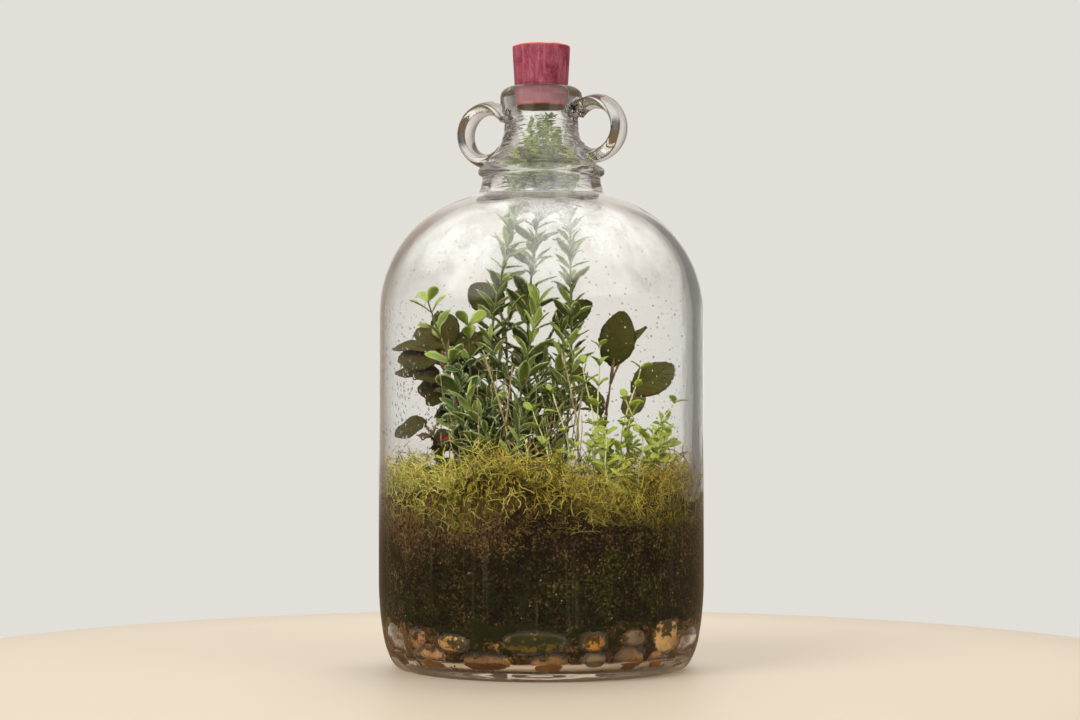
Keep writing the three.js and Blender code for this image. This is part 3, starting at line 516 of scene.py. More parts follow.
def bent_line(start, bend, end, steps):
    return [bezier(start, bend, end, i / steps) for i in range(steps + 1)]


def paired_leaf(plant, row, side, wobble, turn, shrink, rows=None):
    """A leaf of an opposite pair. Each pair is turned across the last."""
    rows = rows or plant["pairs"] - 1
    share = plant["first_leaf"] + (1 - plant["first_leaf"]) * row / rows
    base, along = plant["path"].place(min(share, 0.99))
    bearing = plant["bearing"] + row * pi / 2 + side * pi + wobble[0] + turn
    level = way_at(bearing)
    outward = (level - along * level.dot(along)).normalized()
    lift = lerp(plant["low_lift"], plant["top_lift"], share) + wobble[1]
    length = lerp(plant["low_leaf"], plant["top_leaf"], share) * wobble[2] * shrink
    reach = outward * (length * cos(lift)) + along * (length * sin(lift))
    face = Quaternion(reach.normalized(), wobble[3]) @ along
    leaf = Leaf(base, base + reach, face, length * plant["leaf_shape"], plant["arch"], 0.12)
    leaf.age = share
    return leaf


def wobble_of(random, plant):
    bearing = (random() - 0.5) * 0.7
    lift = (random() - 0.5) * 0.4
    size = 0.85 + 0.3 * random()
    return bearing, lift, size, (random() - 0.5) * plant["roll"]


def planted():
    """All leafy stems with the leaves of their solids placed, and the nerve plants' leaves and stems."""
    crowd = Crowd()
    nerves, stalks, stems = [], [], [leafy_stem(*row) for row in LEAFY_STEMS]
    for i, (root, tip, bow, leaves) in enumerate(NERVE_PLANTS):
        path = StemPath(root, tip, bow)
        nerves.append((51 + i, path, [broad_leaf(*leaf) for leaf in leaves]))
    for i, (root, tip, bow, fork, at) in enumerate(DRY_STALKS):
        path, end = StemPath(root, tip, bow), seen(*fork)
        start, _ = path.place(at)
        stalks.append((71 + i, path, bent_line(start, start.lerp(end, 0.5) + seen(0, 0, 4), end, 10)))

    def crowd_stem(owner, path, radius):
        z = path.foot.z
        while z < path.tip.z:
            crowd.add(owner, [(path.point((z - path.foot.z) / path.rise), radius)])
            z += 2

    for seed, path, _ in nerves:
        crowd_stem(seed, path, NERVE_STEM_RADIUS)
    for seed, path, _ in stalks:
        crowd_stem(seed, path, STALK_RADIUS)
    for plant in stems:
        crowd_stem(plant["seed"], plant["path"], plant["stem_radius"])
    for seed, _, leaves in nerves:
        for leaf in leaves:
            crowd.add(seed, balls_of(leaf))
    for seed, _, line in stalks:
        crowd.add(seed, [(point, STALK_RADIUS) for point in line])
    for plant in stems:
        random = seeded_random(plant["seed"])
        plant["leaves"] = []
        packed = crowd.packed()
        for i in range(plant["pairs"] * 2):
            wobble = wobble_of(random, plant)
            for shrink, turn in [(s, t) for s in SHRINKS for t in TURNS]:
                leaf = paired_leaf(plant, i // 2, i % 2, wobble, turn, shrink)
                if crowd.has_room(plant["seed"], balls_of(leaf), packed):
                    plant["leaves"].append(leaf)
                    break
        for leaf in plant["leaves"]:
            crowd.add(plant["seed"], balls_of(leaf))
    return crowd, nerves, stalks, stems


# Meshes


def linked(name, data):
    """A new object in the scene."""
    made = bpy.data.objects.new(name, data)
    bpy.context.scene.collection.objects.link(made)
    return made


def smooth_object(name, work):
    """An object from an edited mesh, which is used up."""
    mesh = bpy.data.meshes.new(name)
    work.to_mesh(mesh)
    work.free()
    mesh.polygons.foreach_set("use_smooth", [True] * len(mesh.polygons))
    return linked(name, mesh)


def evaluated_mesh(made):
    """A plain mesh of what an object's modifiers make of it."""
    bpy.context.view_layer.update()
    return bpy.data.meshes.new_from_object(made.evaluated_get(bpy.context.evaluated_depsgraph_get()))


class Build:
    """Corners, faces, leaf coordinates and tones that are gathered into one mesh."""

    def __init__(self):
        self.corners, self.faces, self.uvs, self.tones, self.slots = [], [], [], [], []

    def corner(self, place, uv=(0.0, 0.0), tone=(0.5, 0.5, 0.0)):
        self.corners.append((place[0] * MM, place[1] * MM, place[2] * MM))
        self.uvs.append(uv)
        self.tones.append((*tone, 1.0))
        return len(self.corners) - 1

    def ring(self, place_at, segments):
        """A ring of corners, whose places are given by their angles."""
        return [self.corner(place_at(2 * pi * k / segments)) for k in range(segments)]

    def face(self, corners, slot=0):
        self.faces.append(tuple(corners))
        self.slots.append(slot)

    def ring_walls(self, rings, slot=0):
        for low, high in zip(rings, rings[1:]):
            count = len(low)
            for k in range(count):
                after = (k + 1) % count
                self.face((low[k], low[after], high[after], high[k]), slot)

    def object(self, name, materials=()):
        mesh = bpy.data.meshes.new(name)
        mesh.from_pydata(self.corners, [], self.faces)
        for material in materials:
            mesh.materials.append(material)
        mesh.polygons.foreach_set("material_index", self.slots)
        uv = mesh.uv_layers.new(name="leaf")
        index = np.zeros(len(mesh.loops), np.int32)
        mesh.loops.foreach_get("vertex_index", index)
        uv.data.foreach_set("uv", np.array(self.uvs, np.float32)[index].ravel())
        tone = mesh.attributes.new("tone", "FLOAT_COLOR", "POINT")
        tone.data.foreach_set("color", np.array(self.tones, np.float32).ravel())
        mesh.polygons.foreach_set("use_smooth", [True] * len(self.faces))
        mesh.validate()
        return linked(name, mesh)


def turned(profile, segments, name):
    """A profile of (radius, height) turned round the Z axis, closed at both ends on the axis."""
    build = Build()
    rings = []
    for radius, z in profile[1:-1]:
        rings.append(build.ring(lambda a: (radius * cos(a), radius * sin(a), z), segments))
    build.ring_walls(rings)
    foot = build.corner((0, 0, profile[0][1]))
    top = build.corner((0, 0, profile[-1][1]))
    for k in range(segments):
        after = (k + 1) % segments
        build.face((foot, rings[0][after], rings[0][k]))
        build.face((top, rings[-1][k], rings[-1][after]))
    return build.object(name)


def tube(build, points, radii, sides, slot=0, tones=None):
    """A closed round tube through points."""
    rings = []
    side = None
    for i, point in enumerate(points):
        ahead = points[min(i + 1, len(points) - 1)] - points[max(i - 1, 0)]
        ahead.normalize()
        if side is None:
            side = ahead.orthogonal().normalized()
        side = (side - ahead * side.dot(ahead)).normalized()
        other = ahead.cross(side)
        tone = tones[i] if tones else (0.5, 0.5, 0.0)
        share = i / (len(points) - 1)
        ring = []
        for k in range(sides):
            angle = 2 * pi * k / sides
            away = side * (cos(angle) * radii[i]) + other * (sin(angle) * radii[i])
            ring.append(build.corner(point + away, (share, k / sides), tone))
        rings.append(ring)
    build.ring_walls(rings, slot)
    build.face(reversed(rings[0]), slot)
    build.face(rings[-1], slot)


OUTLINES = {
    "lance": [(0, 0.2), (0.12, 0.52), (0.34, 0.92), (0.52, 0.98), (0.7, 0.8), (0.87, 0.42), (1, 0)],
    "spoon": [(0, 0.16), (0.15, 0.36), (0.4, 0.82), (0.62, 1.0), (0.8, 0.88), (0.93, 0.5), (1, 0)],
    "oval": [(0, 0.16), (0.2, 0.7), (0.45, 1.0), (0.68, 0.9), (0.88, 0.5), (1, 0)],
    "broad": [
        (0, 0.12), (0.1, 0.55), (0.24, 0.86), (0.4, 1.0), (0.58, 0.97), (0.74, 0.8), (0.87, 0.54),
        (0.96, 0.24), (1, 0)
    ]
}


def blade(build, leaf, outline, tone, thickness=0.42, columns=4, ripple=0.0):
    """A leaf blade with an upper and a lower skin that meet at a thin edge."""
    last = []
    for share, wide in OUTLINES[outline][:-1]:
        half = wide * leaf.width / 2
        upper, lower = [], []
        for c in range(columns + 1):
            across = 2 * c / columns - 1
            quilt = ripple * sin(share * 26 - abs(across) * 5) * (1 - abs(across) ** 3)
            curl = ripple * 1.6 * sin(share * 9 + tone[1] * 9) * abs(across) ** 2
            uv = (share, (across + 1) / 2)
            place = leaf.at(share, across * half, quilt + curl)
            upper.append(build.corner(place, uv, tone))
            if 0 < c < columns:
                lower.append(build.corner(place - leaf.up * (thickness * (1 - across**2 * 0.6)), uv, tone))
        ring = [*upper, *reversed(lower)]
        if last:
            build.ring_walls([last, ring])
        else:
            build.face(reversed(ring))
        last = ring
    tip = build.corner(leaf.at(1, 0), (1, 0.5), tone)
    for k in range(len(last)):
        build.face((last[k], last[(k + 1) % len(last)], tip))


def merged_verts(node):
    """The corners of a CAD node, each once, in millimetres."""
    mesh = frame["nodes"][node].data
    co = np.zeros(len(mesh.vertices) * 3, np.float32)
    mesh.vertices.foreach_get("co", co)
    return np.unique(np.round(co.reshape(-1, 3) * 1000, 3), axis=0)


def settled(made, change):
    """Moves each corner of a mesh by a rule that takes and gives a place in millimetres."""
    mesh = made.data
    for vertex in mesh.vertices:
        vertex.co = change(vertex.co * 1000) * MM
    mesh.update()
    return made


def outward(made, merge=0.0):
    """Turns all faces of a mesh outwards, after joining corners that lie nearer to each other than merge."""
    work = bmesh.new()
    work.from_mesh(made.data)
    if merge:
        bmesh.ops.remove_doubles(work, verts=work.verts, dist=merge)
    bmesh.ops.recalc_face_normals(work, faces=work.faces)
    work.to_mesh(made.data)
    work.free()
    return made


def removed(made):
    mesh = made.data
    bpy.data.objects.remove(made)
    if mesh.users == 0:
        bpy.data.meshes.remove(mesh)


# Node trees


def reckoning(operation, swapped=False):
    """An operator of Wire that adds a Math node."""

    def reckon(self, other):
        return self.shader.math(operation, *((other, self) if swapped else (self, other)))

    return reckon


class Wire:
    """What a node puts out. Masks and heights are worked out from wires by plain formulas."""

    def __init__(self, shader, socket):
        self.shader, self.socket = shader, socket

    __add__ = __radd__ = reckoning("ADD")
    __mul__ = __rmul__ = reckoning("MULTIPLY")
    __sub__, __rsub__ = reckoning("SUBTRACT"), reckoning("SUBTRACT", True)
    __truediv__ = reckoning("DIVIDE")
    __lt__, __gt__ = reckoning("LESS_THAN"), reckoning("GREATER_THAN")

    def __abs__(self):
        return self.shader.math("ABSOLUTE", self)


class Nodes:
    """A node tree while it is built."""

    def __init__(self, tree):
        self.tree = tree

    def feed(self, socket, value):
        if isinstance(value, Wire):
            self.tree.links.new(value.socket, socket)
        elif value is not None:
            socket.default_value = value

    def add(self, kind, *values, **settings):
        """A node of a kind. Settings name its options or its inputs, and values fill its inputs in order."""
        node = self.tree.nodes.new(kind)
        named = {}
        for key, value in settings.items():
            if hasattr(node, key):
                setattr(node, key, value)
            else:
                named[key.replace("_", " ")] = value
        for socket, value in zip(node.inputs, values):
            self.feed(socket, value)
        for key, value in named.items():
            self.feed(node.inputs[key], value)
        return node

    def wires(self, kind, *values, **settings):
        """All that a new node puts out, by name."""
        outputs = self.add(kind, *values, **settings).outputs
        return {socket.name: Wire(self, socket) for socket in outputs}

    def wire(self, kind, *values, **settings):
        """The first thing that a new node puts out."""
        return Wire(self, self.add(kind, *values, **settings).outputs[0])


class Shader(Nodes):
    """The tree of a material, of a world or of a group that materials share."""

    def group(self, tree, **values):
        return self.wires("ShaderNodeGroup", node_tree=tree, **values)

    def math(self, operation, a, b=None):
        return self.wire("ShaderNodeMath", a, b, operation=operation)

    def most(self, first, *others):
        for other in others:
            first = self.math("MAXIMUM", first, other)
        return first

    def place(self):
        return self.wires("ShaderNodeTexCoord")["Object"]

    def axes(self, vector):
        return self.wires("ShaderNodeSeparateXYZ", vector).values()

    def from_front(self, way):
        """A place or way as its parts to the right, away and up, as seen from the front."""
        turned_way = self.wire(
            "ShaderNodeVectorRotate", Vector=way, rotation_type="Z_AXIS", Angle=-VIEW_TURN
        )
        return self.axes(turned_way)

    def off_axis(self, x, y):
        return self.math("SQRT", x * x + y * y)

    def noise(self, vector, scale, detail=3.0, roughness=0.6):
        return self.wire(
            "ShaderNodeTexNoise", Vector=vector, Scale=scale, Detail=detail, Roughness=roughness
        )

    def cells(self, vector, scale, **settings):
        return self.wire("ShaderNodeTexVoronoi", Vector=vector, Scale=scale, **settings)

    def stretched(self, vector, up, across=1.0):
        """The vector with its parts scaled. A small share upwards draws a texture out along the height."""
        return self.wire("ShaderNodeMapping", Vector=vector, Scale=(across, across, up))

    def between(self, value, low, high, to_low=0.0, to_high=1.0):
        ends = (value, low, high, to_low, to_high)
        return self.wire("ShaderNodeMapRange", *ends, interpolation_type="SMOOTHSTEP")

    def blend(self, share, a, b, how="MIX"):
        node = self.add("ShaderNodeMix", data_type="RGBA", blend_type=how)
        for index, value in ((0, share), (6, a), (7, b)):
            self.feed(node.inputs[index], value)
        return Wire(self, node.outputs[2])

    def ramp(self, value, *stops):
        node = self.add("ShaderNodeValToRGB", value)
        line = node.color_ramp.elements
        for element, (at, colour) in ((line[0], stops[0]), (line[1], stops[-1])):
            element.position, element.color = at, colour
        for at, colour in stops[1:-1]:
            line.new(at).color = colour
        return Wire(self, node.outputs[0])

    def bump(self, height, strength, distance):
        return self.wire("ShaderNodeBump", Strength=strength, Distance=distance, Height=height)


class Look(Shader):
    """A material while it is built."""

    def __init__(self, name):
        self.material = bpy.data.materials.new(name)
        self.material.use_nodes = True
        self.material.node_tree.nodes.clear()
        super().__init__(self.material.node_tree)

    def skin(self, **values):
        return self.wire("ShaderNodeBsdfPrincipled", **values)

    def through_for_lamps(self, surface):
        """Lets lamps shine through a clear surface."""
        clear = self.wire("ShaderNodeBsdfTransparent")
        shadow = self.wires("ShaderNodeLightPath")["Is Shadow Ray"]
        return self.wire("ShaderNodeMixShader", shadow, surface, clear)

    def lit_from_behind(self, share, surface, colour):
        """Lets a share of the light come through a thin surface."""
        glow = self.wire("ShaderNodeBsdfTranslucent", Color=colour)
        return self.wire("ShaderNodeMixShader", share, surface, glow)

    def finished(self, surface):
        self.add("ShaderNodeOutputMaterial", Surface=surface)
        return self.material


def paint(red, green, blue):
    """A colour from its everyday 0 to 255 values."""
    parts = [c / 255 for c in (red, green, blue)]
    return (*[p / 12.92 if p <= 0.04045 else ((p + 0.055) / 1.055) ** 2.4 for p in parts], 1.0)


def dimmed(colour, share):
    return (*[share * c for c in colour[:3]], 1.0)


def add_sockets(tree, inputs, outputs):
    """Names what goes into a node group, with its kind and default, and what comes out of it."""
    for title, (kind, default) in inputs.items():
        socket = tree.interface.new_socket(title, in_out="INPUT", socket_type="NodeSocket" + kind)
        if default is not None:
            socket.default_value = default
    for title, kind in outputs.items():
        tree.interface.new_socket(title, in_out="OUTPUT", socket_type="NodeSocket" + kind)


def shared_group(name, inputs, outputs):
    """Turns a function that fills a tree into one that gives the node group, made at its first use."""

    def wrapped(fill):
        def group():
            tree = bpy.data.node_groups.get(name)
            if tree is None:
                tree = bpy.data.node_groups.new(name, "ShaderNodeTree")
                add_sockets(tree, inputs, outputs)
                s = Shader(tree)
                s.add("NodeGroupOutput", *fill(s, s.wires("NodeGroupInput")))
            return tree

        return group

    return wrapped


@shared_group(
    "Mottle",
    {"Scale": ("Float", 60.0), "Speck Scale": ("Float", 600.0), "Speck Size": ("Float", 0.2)},
    {"Blotch": "Float", "Speck": "Float", "Grain": "Float"},
)
def mottle_group(s, given):
    """Blotches and specks for rubber and stone."""
    place = s.place()
    blotch = s.between(s.noise(place, given["Scale"], 5.0, 0.65), 0.36, 0.64)
    speck = s.cells(place, given["Speck Scale"]) < given["Speck Size"]
    return blotch, speck, s.noise(place, given["Speck Scale"], 3.0)


@shared_group(
    "Leaf Veins",
    {"Pairs": ("Float", 7), "Slant": ("Float", 1.6), "Vein Width": ("Float", 0.1), "Margin": ("Float", 0.8)},
    {"Rib": "Float", "Veins": "Float", "Margin": "Float"},
)
def veins_group(s, given):
    """The rib, the side veins and the margin of a leaf, from its own coordinates."""
    along, across, _ = s.axes(s.wire("ShaderNodeUVMap", uv_map="leaf"))
    side = abs(across * 2.0 - 1.0)
    run = along * given["Pairs"] - side * given["Slant"]
    near = abs(s.math("FRACT", run) - 0.5)
    vein = s.wire("ShaderNodeMapRange", near, 0.0, given["Vein Width"], 1.0, 0.0)
    wave = (s.noise(s.place(), 420.0, 2.0) - 0.5) * 0.5
    edge = side + wave - given["Margin"]
    tip = s.between(along, 0.86, 1.0) * 0.7
    rib = s.between(side, 0.05, 0.16, 1.0, 0.0)
    return rib, vein * s.between(side, 0.98, 0.8), s.most(s.between(edge, 0.0, 0.08), tip)


@shared_group("Grime", {}, {"Mask": "Float"})
def grime_group(s, _):
    """Where black and green dirt has washed down over the stones, lowest in the middle of the front."""
    place = s.place()
    u, _, z = s.from_front(place)
    middle = s.between(u, -0.066, -0.045) * s.between(u, 0.045, 0.018)
    level = 0.0245 - middle * 0.0085
    blots = s.noise(place, 120.0, 4.0) + s.noise(place, 420.0, 4.0, 0.7)
    ragged = (blots - 1.0) * 0.04
    return (s.between(z + ragged - level, 0.0, 0.0025, 0.0, 0.9),)


@shared_group(
    "Compost",
    {"Dark": ("Color", None), "Brown": ("Color", None), "Algae": ("Color", None)},
    {"Color": "Color", "Height": "Float"},
)
def compost_group(s, given):
    """Wet compost behind glass: dark, with brown fibres higher up and green growth lower down."""
    place = s.place()
    u, _, z = s.from_front(place)
    crumbs = s.noise(place, 680.0, 9.0, 0.84)
    lumps = s.noise(place, 150.0, 5.0, 0.7)
    light = crumbs * 0.8 + lumps * 0.2
    black, dark, fibre, pale = paint(2, 2, 1), paint(22, 17, 8), paint(68, 52, 27), paint(190, 150, 94)
    base = s.ramp(light, (0.44, black), (0.495, dark), (0.54, fibre), (0.6, pale))
    slow = s.noise(place, 46.0, 5.0, 0.6)
    deep = s.between(slow, 0.42, 0.62, 0.42, 0.0) + s.between(z, 0.092, 0.045, 0.0, 0.36)
    base = s.blend(deep, base, given["Dark"])

    wide = s.wire("ShaderNodeVectorMath", place, s.stretched(place, 1.0, 3.0))
    hairs = s.noise(s.stretched(wide, 0.5), 420.0, 8.0, 0.75)
    high = s.between(z + s.noise(place, 38.0) * 0.034, 0.07, 0.112)
    fibrous = high * s.between(u, 0.0, -0.055, 0.1, 1.0) * s.between(hairs, 0.45, 0.6)
    base = s.blend(fibrous * 0.95, base, given["Brown"])

    low = s.between(z + lumps * -0.02, 0.07, 0.022)
    growth = low * s.between(s.noise(place, 260.0, 8.0, 0.8), 0.46, 0.6)
    base = s.blend(growth * 0.7, base, given["Algae"])
    tufts = s.between(s.noise(place, 48.0, 4.0), 0.5, 0.66) * s.between(crumbs, 0.46, 0.62)
    base = s.blend(tufts * s.between(u, -0.03, 0.03, 0.35, 1.0) * 0.8, base, paint(84, 88, 26))

    specks = (s.cells(place, 270.0) < 0.1) * s.between(s.noise(place, 110.0, 2.0), 0.55, 0.62)
    base = s.blend(specks * 0.75, base, paint(176, 172, 140))
    runs = s.between(s.noise(s.stretched(place, 0.03), 200.0, 3.0), 0.58, 0.72)
    return s.blend(runs * 0.13, base, paint(150, 140, 116)), light


# Materials


def neck_rings(s, place):
    """A mask of the inside of the neck, and the rings in which its glass has set."""
    u, v, z = s.from_front(place)
    away = s.off_axis(u, v)
    neck = s.between(z, 0.24, 0.262) * s.between(away, 0.03, 0.026) * s.between(z, 0.289, 0.283)
    return neck, s.noise(s.stretched(place, 4.5), 48.0, 2.0)


CLEAR = (0.992, 0.995, 0.992, 1.0)


def wet_glass():
    """The inside of the glass: a film of water that runs down, and beads of it to the left."""
    s = Look("wet_glass")
    place = s.place()
    u, _, z = s.from_front(place)
    neck, rings = neck_rings(s, place)
    film = s.noise(place, 700.0, 2.0)
    runs = s.noise(s.stretched(place, 0.1), 380.0, 2.0)
    beaded = s.between(u, -0.036, -0.066) * s.between(z, 0.205, 0.17)
    patches = s.between(s.noise(s.stretched(place, 0.5), 90.0, 3.0), 0.44, 0.56)
    beads = s.between(s.cells(s.stretched(place, 0.7), 430.0), 0.36, 0.1, 0.0, 4.5) * patches
    height = film * 0.4 + runs * 0.6 + beads * beaded + rings * (neck * 40.0)
    normal = s.bump(height, 0.3, 0.00006)
    body = s.skin(Base_Color=CLEAR, Roughness=0.0, IOR=1.5, Normal=normal, Transmission_Weight=1.0)
    return s.finished(s.through_for_lamps(body))


def clear_glass(rim):
    """Old moulded glass, with darker rims at the shoulder, the thick side and the neck that are painted
    shade, a painted dark line near the left edge, and a pale, warm foot that is painted light.
    """
    s = Look("clear_glass")
    place = s.place()
    u, _, z = s.from_front(place)
    neck, rings = neck_rings(s, place)
    facing = s.wires("ShaderNodeLayerWeight", Blend=0.5)["Facing"]
    above_foot = s.between(z, 0.02, 0.05)

    # Painted shade: where the glass is seen at a slant, its rims are tinted towards the rim colour, most at
    # the shoulder, on the thick side, at the neck and on the lip.
    fade = s.between(z, 0.18, 0.22, 0.84, 1.0)
    band = s.between(facing, 0.55, 0.66) * (facing < fade) * s.between(fade - facing, 0.0, 0.1)
    thick_side_shade = s.between(u, 0.05, 0.078, 0.15, 0.66)
    shoulder = s.between(z, 0.168, 0.2) * 0.76
    share = band * s.most(shoulder, thick_side_shade) * above_foot
    upper = s.between(z, 0.244, 0.258) * s.between(facing, 0.1, 0.5, 0.05, 0.95)
    lip = s.between(z, 0.2955, 0.298) * 0.32
    base = s.blend(s.most(share, upper, lip), CLEAR, rim)
    # Painted shade: a brownish dark line just inside the left edge.
    line = s.between(facing, 0.6, 0.78) * s.between(facing, 0.93, 0.86) * s.between(u, -0.04, -0.06)
    base = s.blend(line * above_foot, base, paint(150, 118, 92))
    # Painted light: the foot is tinted warm, and together with its lower clearness it looks pale where it
    # stands in the shade on the floor.
    base = s.blend(s.between(z, 0.012, 0.006), base, paint(252, 232, 206), "MULTIPLY")

    waves = s.noise(s.stretched(place, 0.5), 38.0, 2.0) + rings * (neck * 5.0)
    normal = s.bump(waves, 0.12 + neck * 0.22, 0.002)
    worn = s.between(z, 0.008, 0.004, 0.0, 0.03)
    clearness = s.between(z, 0.002, 0.007, 0.8, 1.0)
    body = s.skin(Base_Color=base, Roughness=worn, IOR=1.5, Normal=normal, Transmission_Weight=clearness)
    return s.finished(s.through_for_lamps(body))


def water():
    s = Look("water_drops")
    body = s.skin(Base_Color=(1, 1, 1, 1), Roughness=0.02, IOR=1.33, Transmission_Weight=1.0)
    return s.finished(s.through_for_lamps(body))


def dew(amount):
    """Fine dew on the inside of the dome, in cloudy patches below the neck with a ragged lower edge."""
    s = Look("dome_mist")
    place = s.place()
    _, _, z = s.axes(place)
    ragged = (s.noise(place, 24.0, 6.0) - 0.5) * 0.07
    rise = s.between(z + ragged, 0.196, 0.214) * s.between(z, 0.24, 0.262, 1.0, 0.22)
    patches = s.between(s.noise(s.stretched(place, 0.6), 36.0, 6.0, 0.7), 0.42, 0.62, 0.25, 1.0)
    grain = s.between(s.noise(place, 1300.0, 2.0), 0.35, 0.65, 0.55, 1.0)
    alpha = rise * patches * (grain * amount)
    return s.finished(s.skin(Base_Color=(0.9, 0.9, 0.9, 1), Roughness=0.7, Alpha=alpha))


def rubber(colour):
    """Red rubber, dusted with chalk, orange along its edges, with a painted highlight on its top edge, and
    paler where it stands in the glass, where a reflection of the glass is painted on.
    """
    s = Look("stopper_rubber")
    place = s.place()
    x, y, z = s.axes(place)
    away = s.off_axis(x, y)
    mottle = s.group(mottle_group(), Scale=120.0, Speck_Scale=900.0, Speck_Size=0.16)
    streaks = s.noise(s.stretched(place, 0.16), 420.0, 4.0, 0.7)
    chalk = s.between(streaks, 0.42, 0.72) * 0.55 + mottle["Blotch"] * 0.22
    base = s.blend(mottle["Blotch"], dimmed(colour, 0.72), colour)
    base = s.blend(chalk, base, paint(184, 112, 124))
    base = s.blend(mottle["Speck"] * 0.35, base, paint(222, 170, 176))
    # Painted reflection: the part that stands in the glass is washed paler and pinker.
    base = s.blend(s.between(z, 0.3005, 0.2968, 0.0, 0.55), base, paint(196, 154, 156))
    shaded = s.between(z, 0.2985, 0.3005) * s.between(z, 0.3035, 0.3025, 0.0, 0.45)
    base = s.blend(shaded, base, paint(84, 54, 66))

    bottom = STOPPER_BOTTOM_Z + STOPPER_LIFT
    # Painted highlight: the outer top edge is lighter orange; the lower edge is orange too.
    rim = s.between(z, (STOPPER_TOP_Z - 0.9) * MM, (STOPPER_TOP_Z - 0.4) * MM)
    rim = rim * s.between(away, 0.0128, 0.0142, 0.12, 1.0)
    foot = s.between(z, (bottom + 1.1) * MM, (bottom + 0.6) * MM)
    base = s.blend(s.most(rim * 0.8, foot * 0.7), base, paint(208, 104, 80))
    under = s.between(z, 0.294, 0.293) * s.between(away, 0.0129, 0.0125)
    base = s.blend(under, base, paint(150, 124, 112))
    return s.finished(s.skin(Base_Color=base, Roughness=0.78, Normal=s.bump(mottle["Grain"], 0.35, 0.0004)))


STONE_COLOURS = {
    "stone_brown": (paint(140, 98, 54), paint(90, 60, 34)),
    "stone_tan": (paint(186, 136, 80), paint(132, 90, 48)),
    "stone_grey": (paint(142, 114, 84), paint(96, 76, 54)),
    "stone_orange": (paint(206, 138, 50), paint(140, 88, 30)),
    "stone_cream": (paint(226, 180, 114), paint(178, 128, 68)),
    "stone_pink": (paint(190, 126, 84), paint(138, 88, 54)),
    "stone_olive": (paint(146, 118, 32), paint(80, 66, 18))
}


def with_grime(s, base, algae):
    dirt = s.blend(s.noise(s.place(), 300.0, 4.0, 0.7), paint(8, 8, 4), algae)
    return s.blend(s.group(grime_group())["Mask"], base, dirt)


def wet_pebble(slot, algae):
    """A wet water-worn pebble with darker blotches and dark specks, under washed-down dirt."""
    light, dark = STONE_COLOURS[slot]
    s = Look(slot)
    mottle = s.group(mottle_group(), Scale=85.0, Speck_Scale=520.0, Speck_Size=0.13)
    base = s.blend(mottle["Blotch"], dark, light)
    cloud = s.noise(s.place(), 240.0, 6.0, 0.7)
    base = with_grime(s, s.blend(s.between(cloud, 0.4, 0.7, 0.0, 0.5), base, dark), algae)
    base = s.blend(mottle["Speck"] * 0.7, base, paint(30, 24, 14))
    normal = s.bump(mottle["Grain"], 0.3, 0.0006)
    return s.finished(s.skin(Base_Color=base, Roughness=0.34, Normal=normal, Specular_IOR_Level=0.3))


def fine_gravel(algae):
    """Small wet stones, each of its own brown."""
    s = Look("fine_gravel")
    mottle = s.group(mottle_group(), Scale=150.0, Speck_Scale=700.0, Speck_Size=0.2)
    pick = s.wires("ShaderNodeAttribute", attribute_name="shade")["Fac"]
    earth, tan = paint(112, 74, 36), paint(150, 104, 52)
    brown, pale = paint(104, 74, 40), paint(180, 130, 68)
    base = s.ramp(pick, (0.0, earth), (0.3, tan), (0.6, brown), (1.0, pale))
    dirt = s.between(s.noise(s.place(), 380.0, 6.0, 0.75), 0.46, 0.6, 0.0, 0.75)
    base = s.blend(dirt, base, paint(50, 34, 18))
    base = with_grime(s, s.blend(mottle["Speck"] * 0.6, base, paint(34, 26, 16)), algae)
    normal = s.bump(mottle["Grain"], 0.4, 0.0005)
    return s.finished(s.skin(Base_Color=base, Roughness=0.4, Normal=normal, Specular_IOR_Level=0.25))


def wet_silt(algae):
    """Wet silt between the stones: dark crumbs, paler towards both sides, and pale on its underside as
    painted light where it lies in shade.
    """
    s = Look("silt")
    place = s.place()
    u, _, z = s.from_front(place)
    crumbs = s.noise(place, 560.0, 9.0, 0.8)
    black, dark, brown, pale = paint(20, 14, 7), paint(66, 46, 24), paint(112, 80, 44), paint(164, 122, 74)
    base = s.ramp(crumbs, (0.4, black), (0.48, dark), (0.56, brown), (0.64, pale))
    patches = s.between(s.noise(place, 90.0, 5.0), 0.45, 0.6, 0.0, 0.7)
    base = s.blend(patches, base, paint(44, 30, 15))
    aside = s.between(abs(u), 0.05, 0.082, 0.0, 0.5)
    base = with_grime(s, s.blend(aside, base, paint(150, 110, 68)), algae)
    # Painted light: the underside is pale, where little light reaches it through the glass floor.
    base = s.blend(s.between(z, 0.0102, 0.0096), base, paint(226, 198, 168))
    return s.finished(s.skin(Base_Color=base, Roughness=0.7, Specular_IOR_Level=0.08))


def ground_cover(ground):
    """Compost below and matted moss above, which pass into each other along a ragged line."""
    s = Look("ground")
    place = s.place()
    _, _, z = s.from_front(place)
    soil = s.group(
        compost_group(), Dark=ground.soil_dark, Brown=ground.soil_brown, Algae=ground.algae_colour
    )
    threads = s.noise(s.stretched(place, 0.28), 620.0, 8.0, 0.75)
    black, brown = paint(12, 10, 4), paint(50, 40, 14)
    base = s.ramp(threads, (0.42, black), (0.52, brown), (0.62, ground.moss_old), (0.72, ground.moss_fresh))
    patches = s.between(s.noise(place, 75.0, 3.0), 0.42, 0.6)
    base = s.blend(patches * 0.5, base, s.blend(threads, paint(18, 20, 6), paint(120, 124, 36)))
    rise = z + (s.noise(s.stretched(place, 0.5), 44.0, 5.0) - 0.5) * 0.09
    base = s.blend(s.between(rise, 0.074, 0.094), soil["Color"], base)
    normal = s.bump(threads + soil["Height"], 0.6, 0.001)
    return s.finished(s.skin(Base_Color=base, Roughness=0.8, Normal=normal, Specular_IOR_Level=0.08))


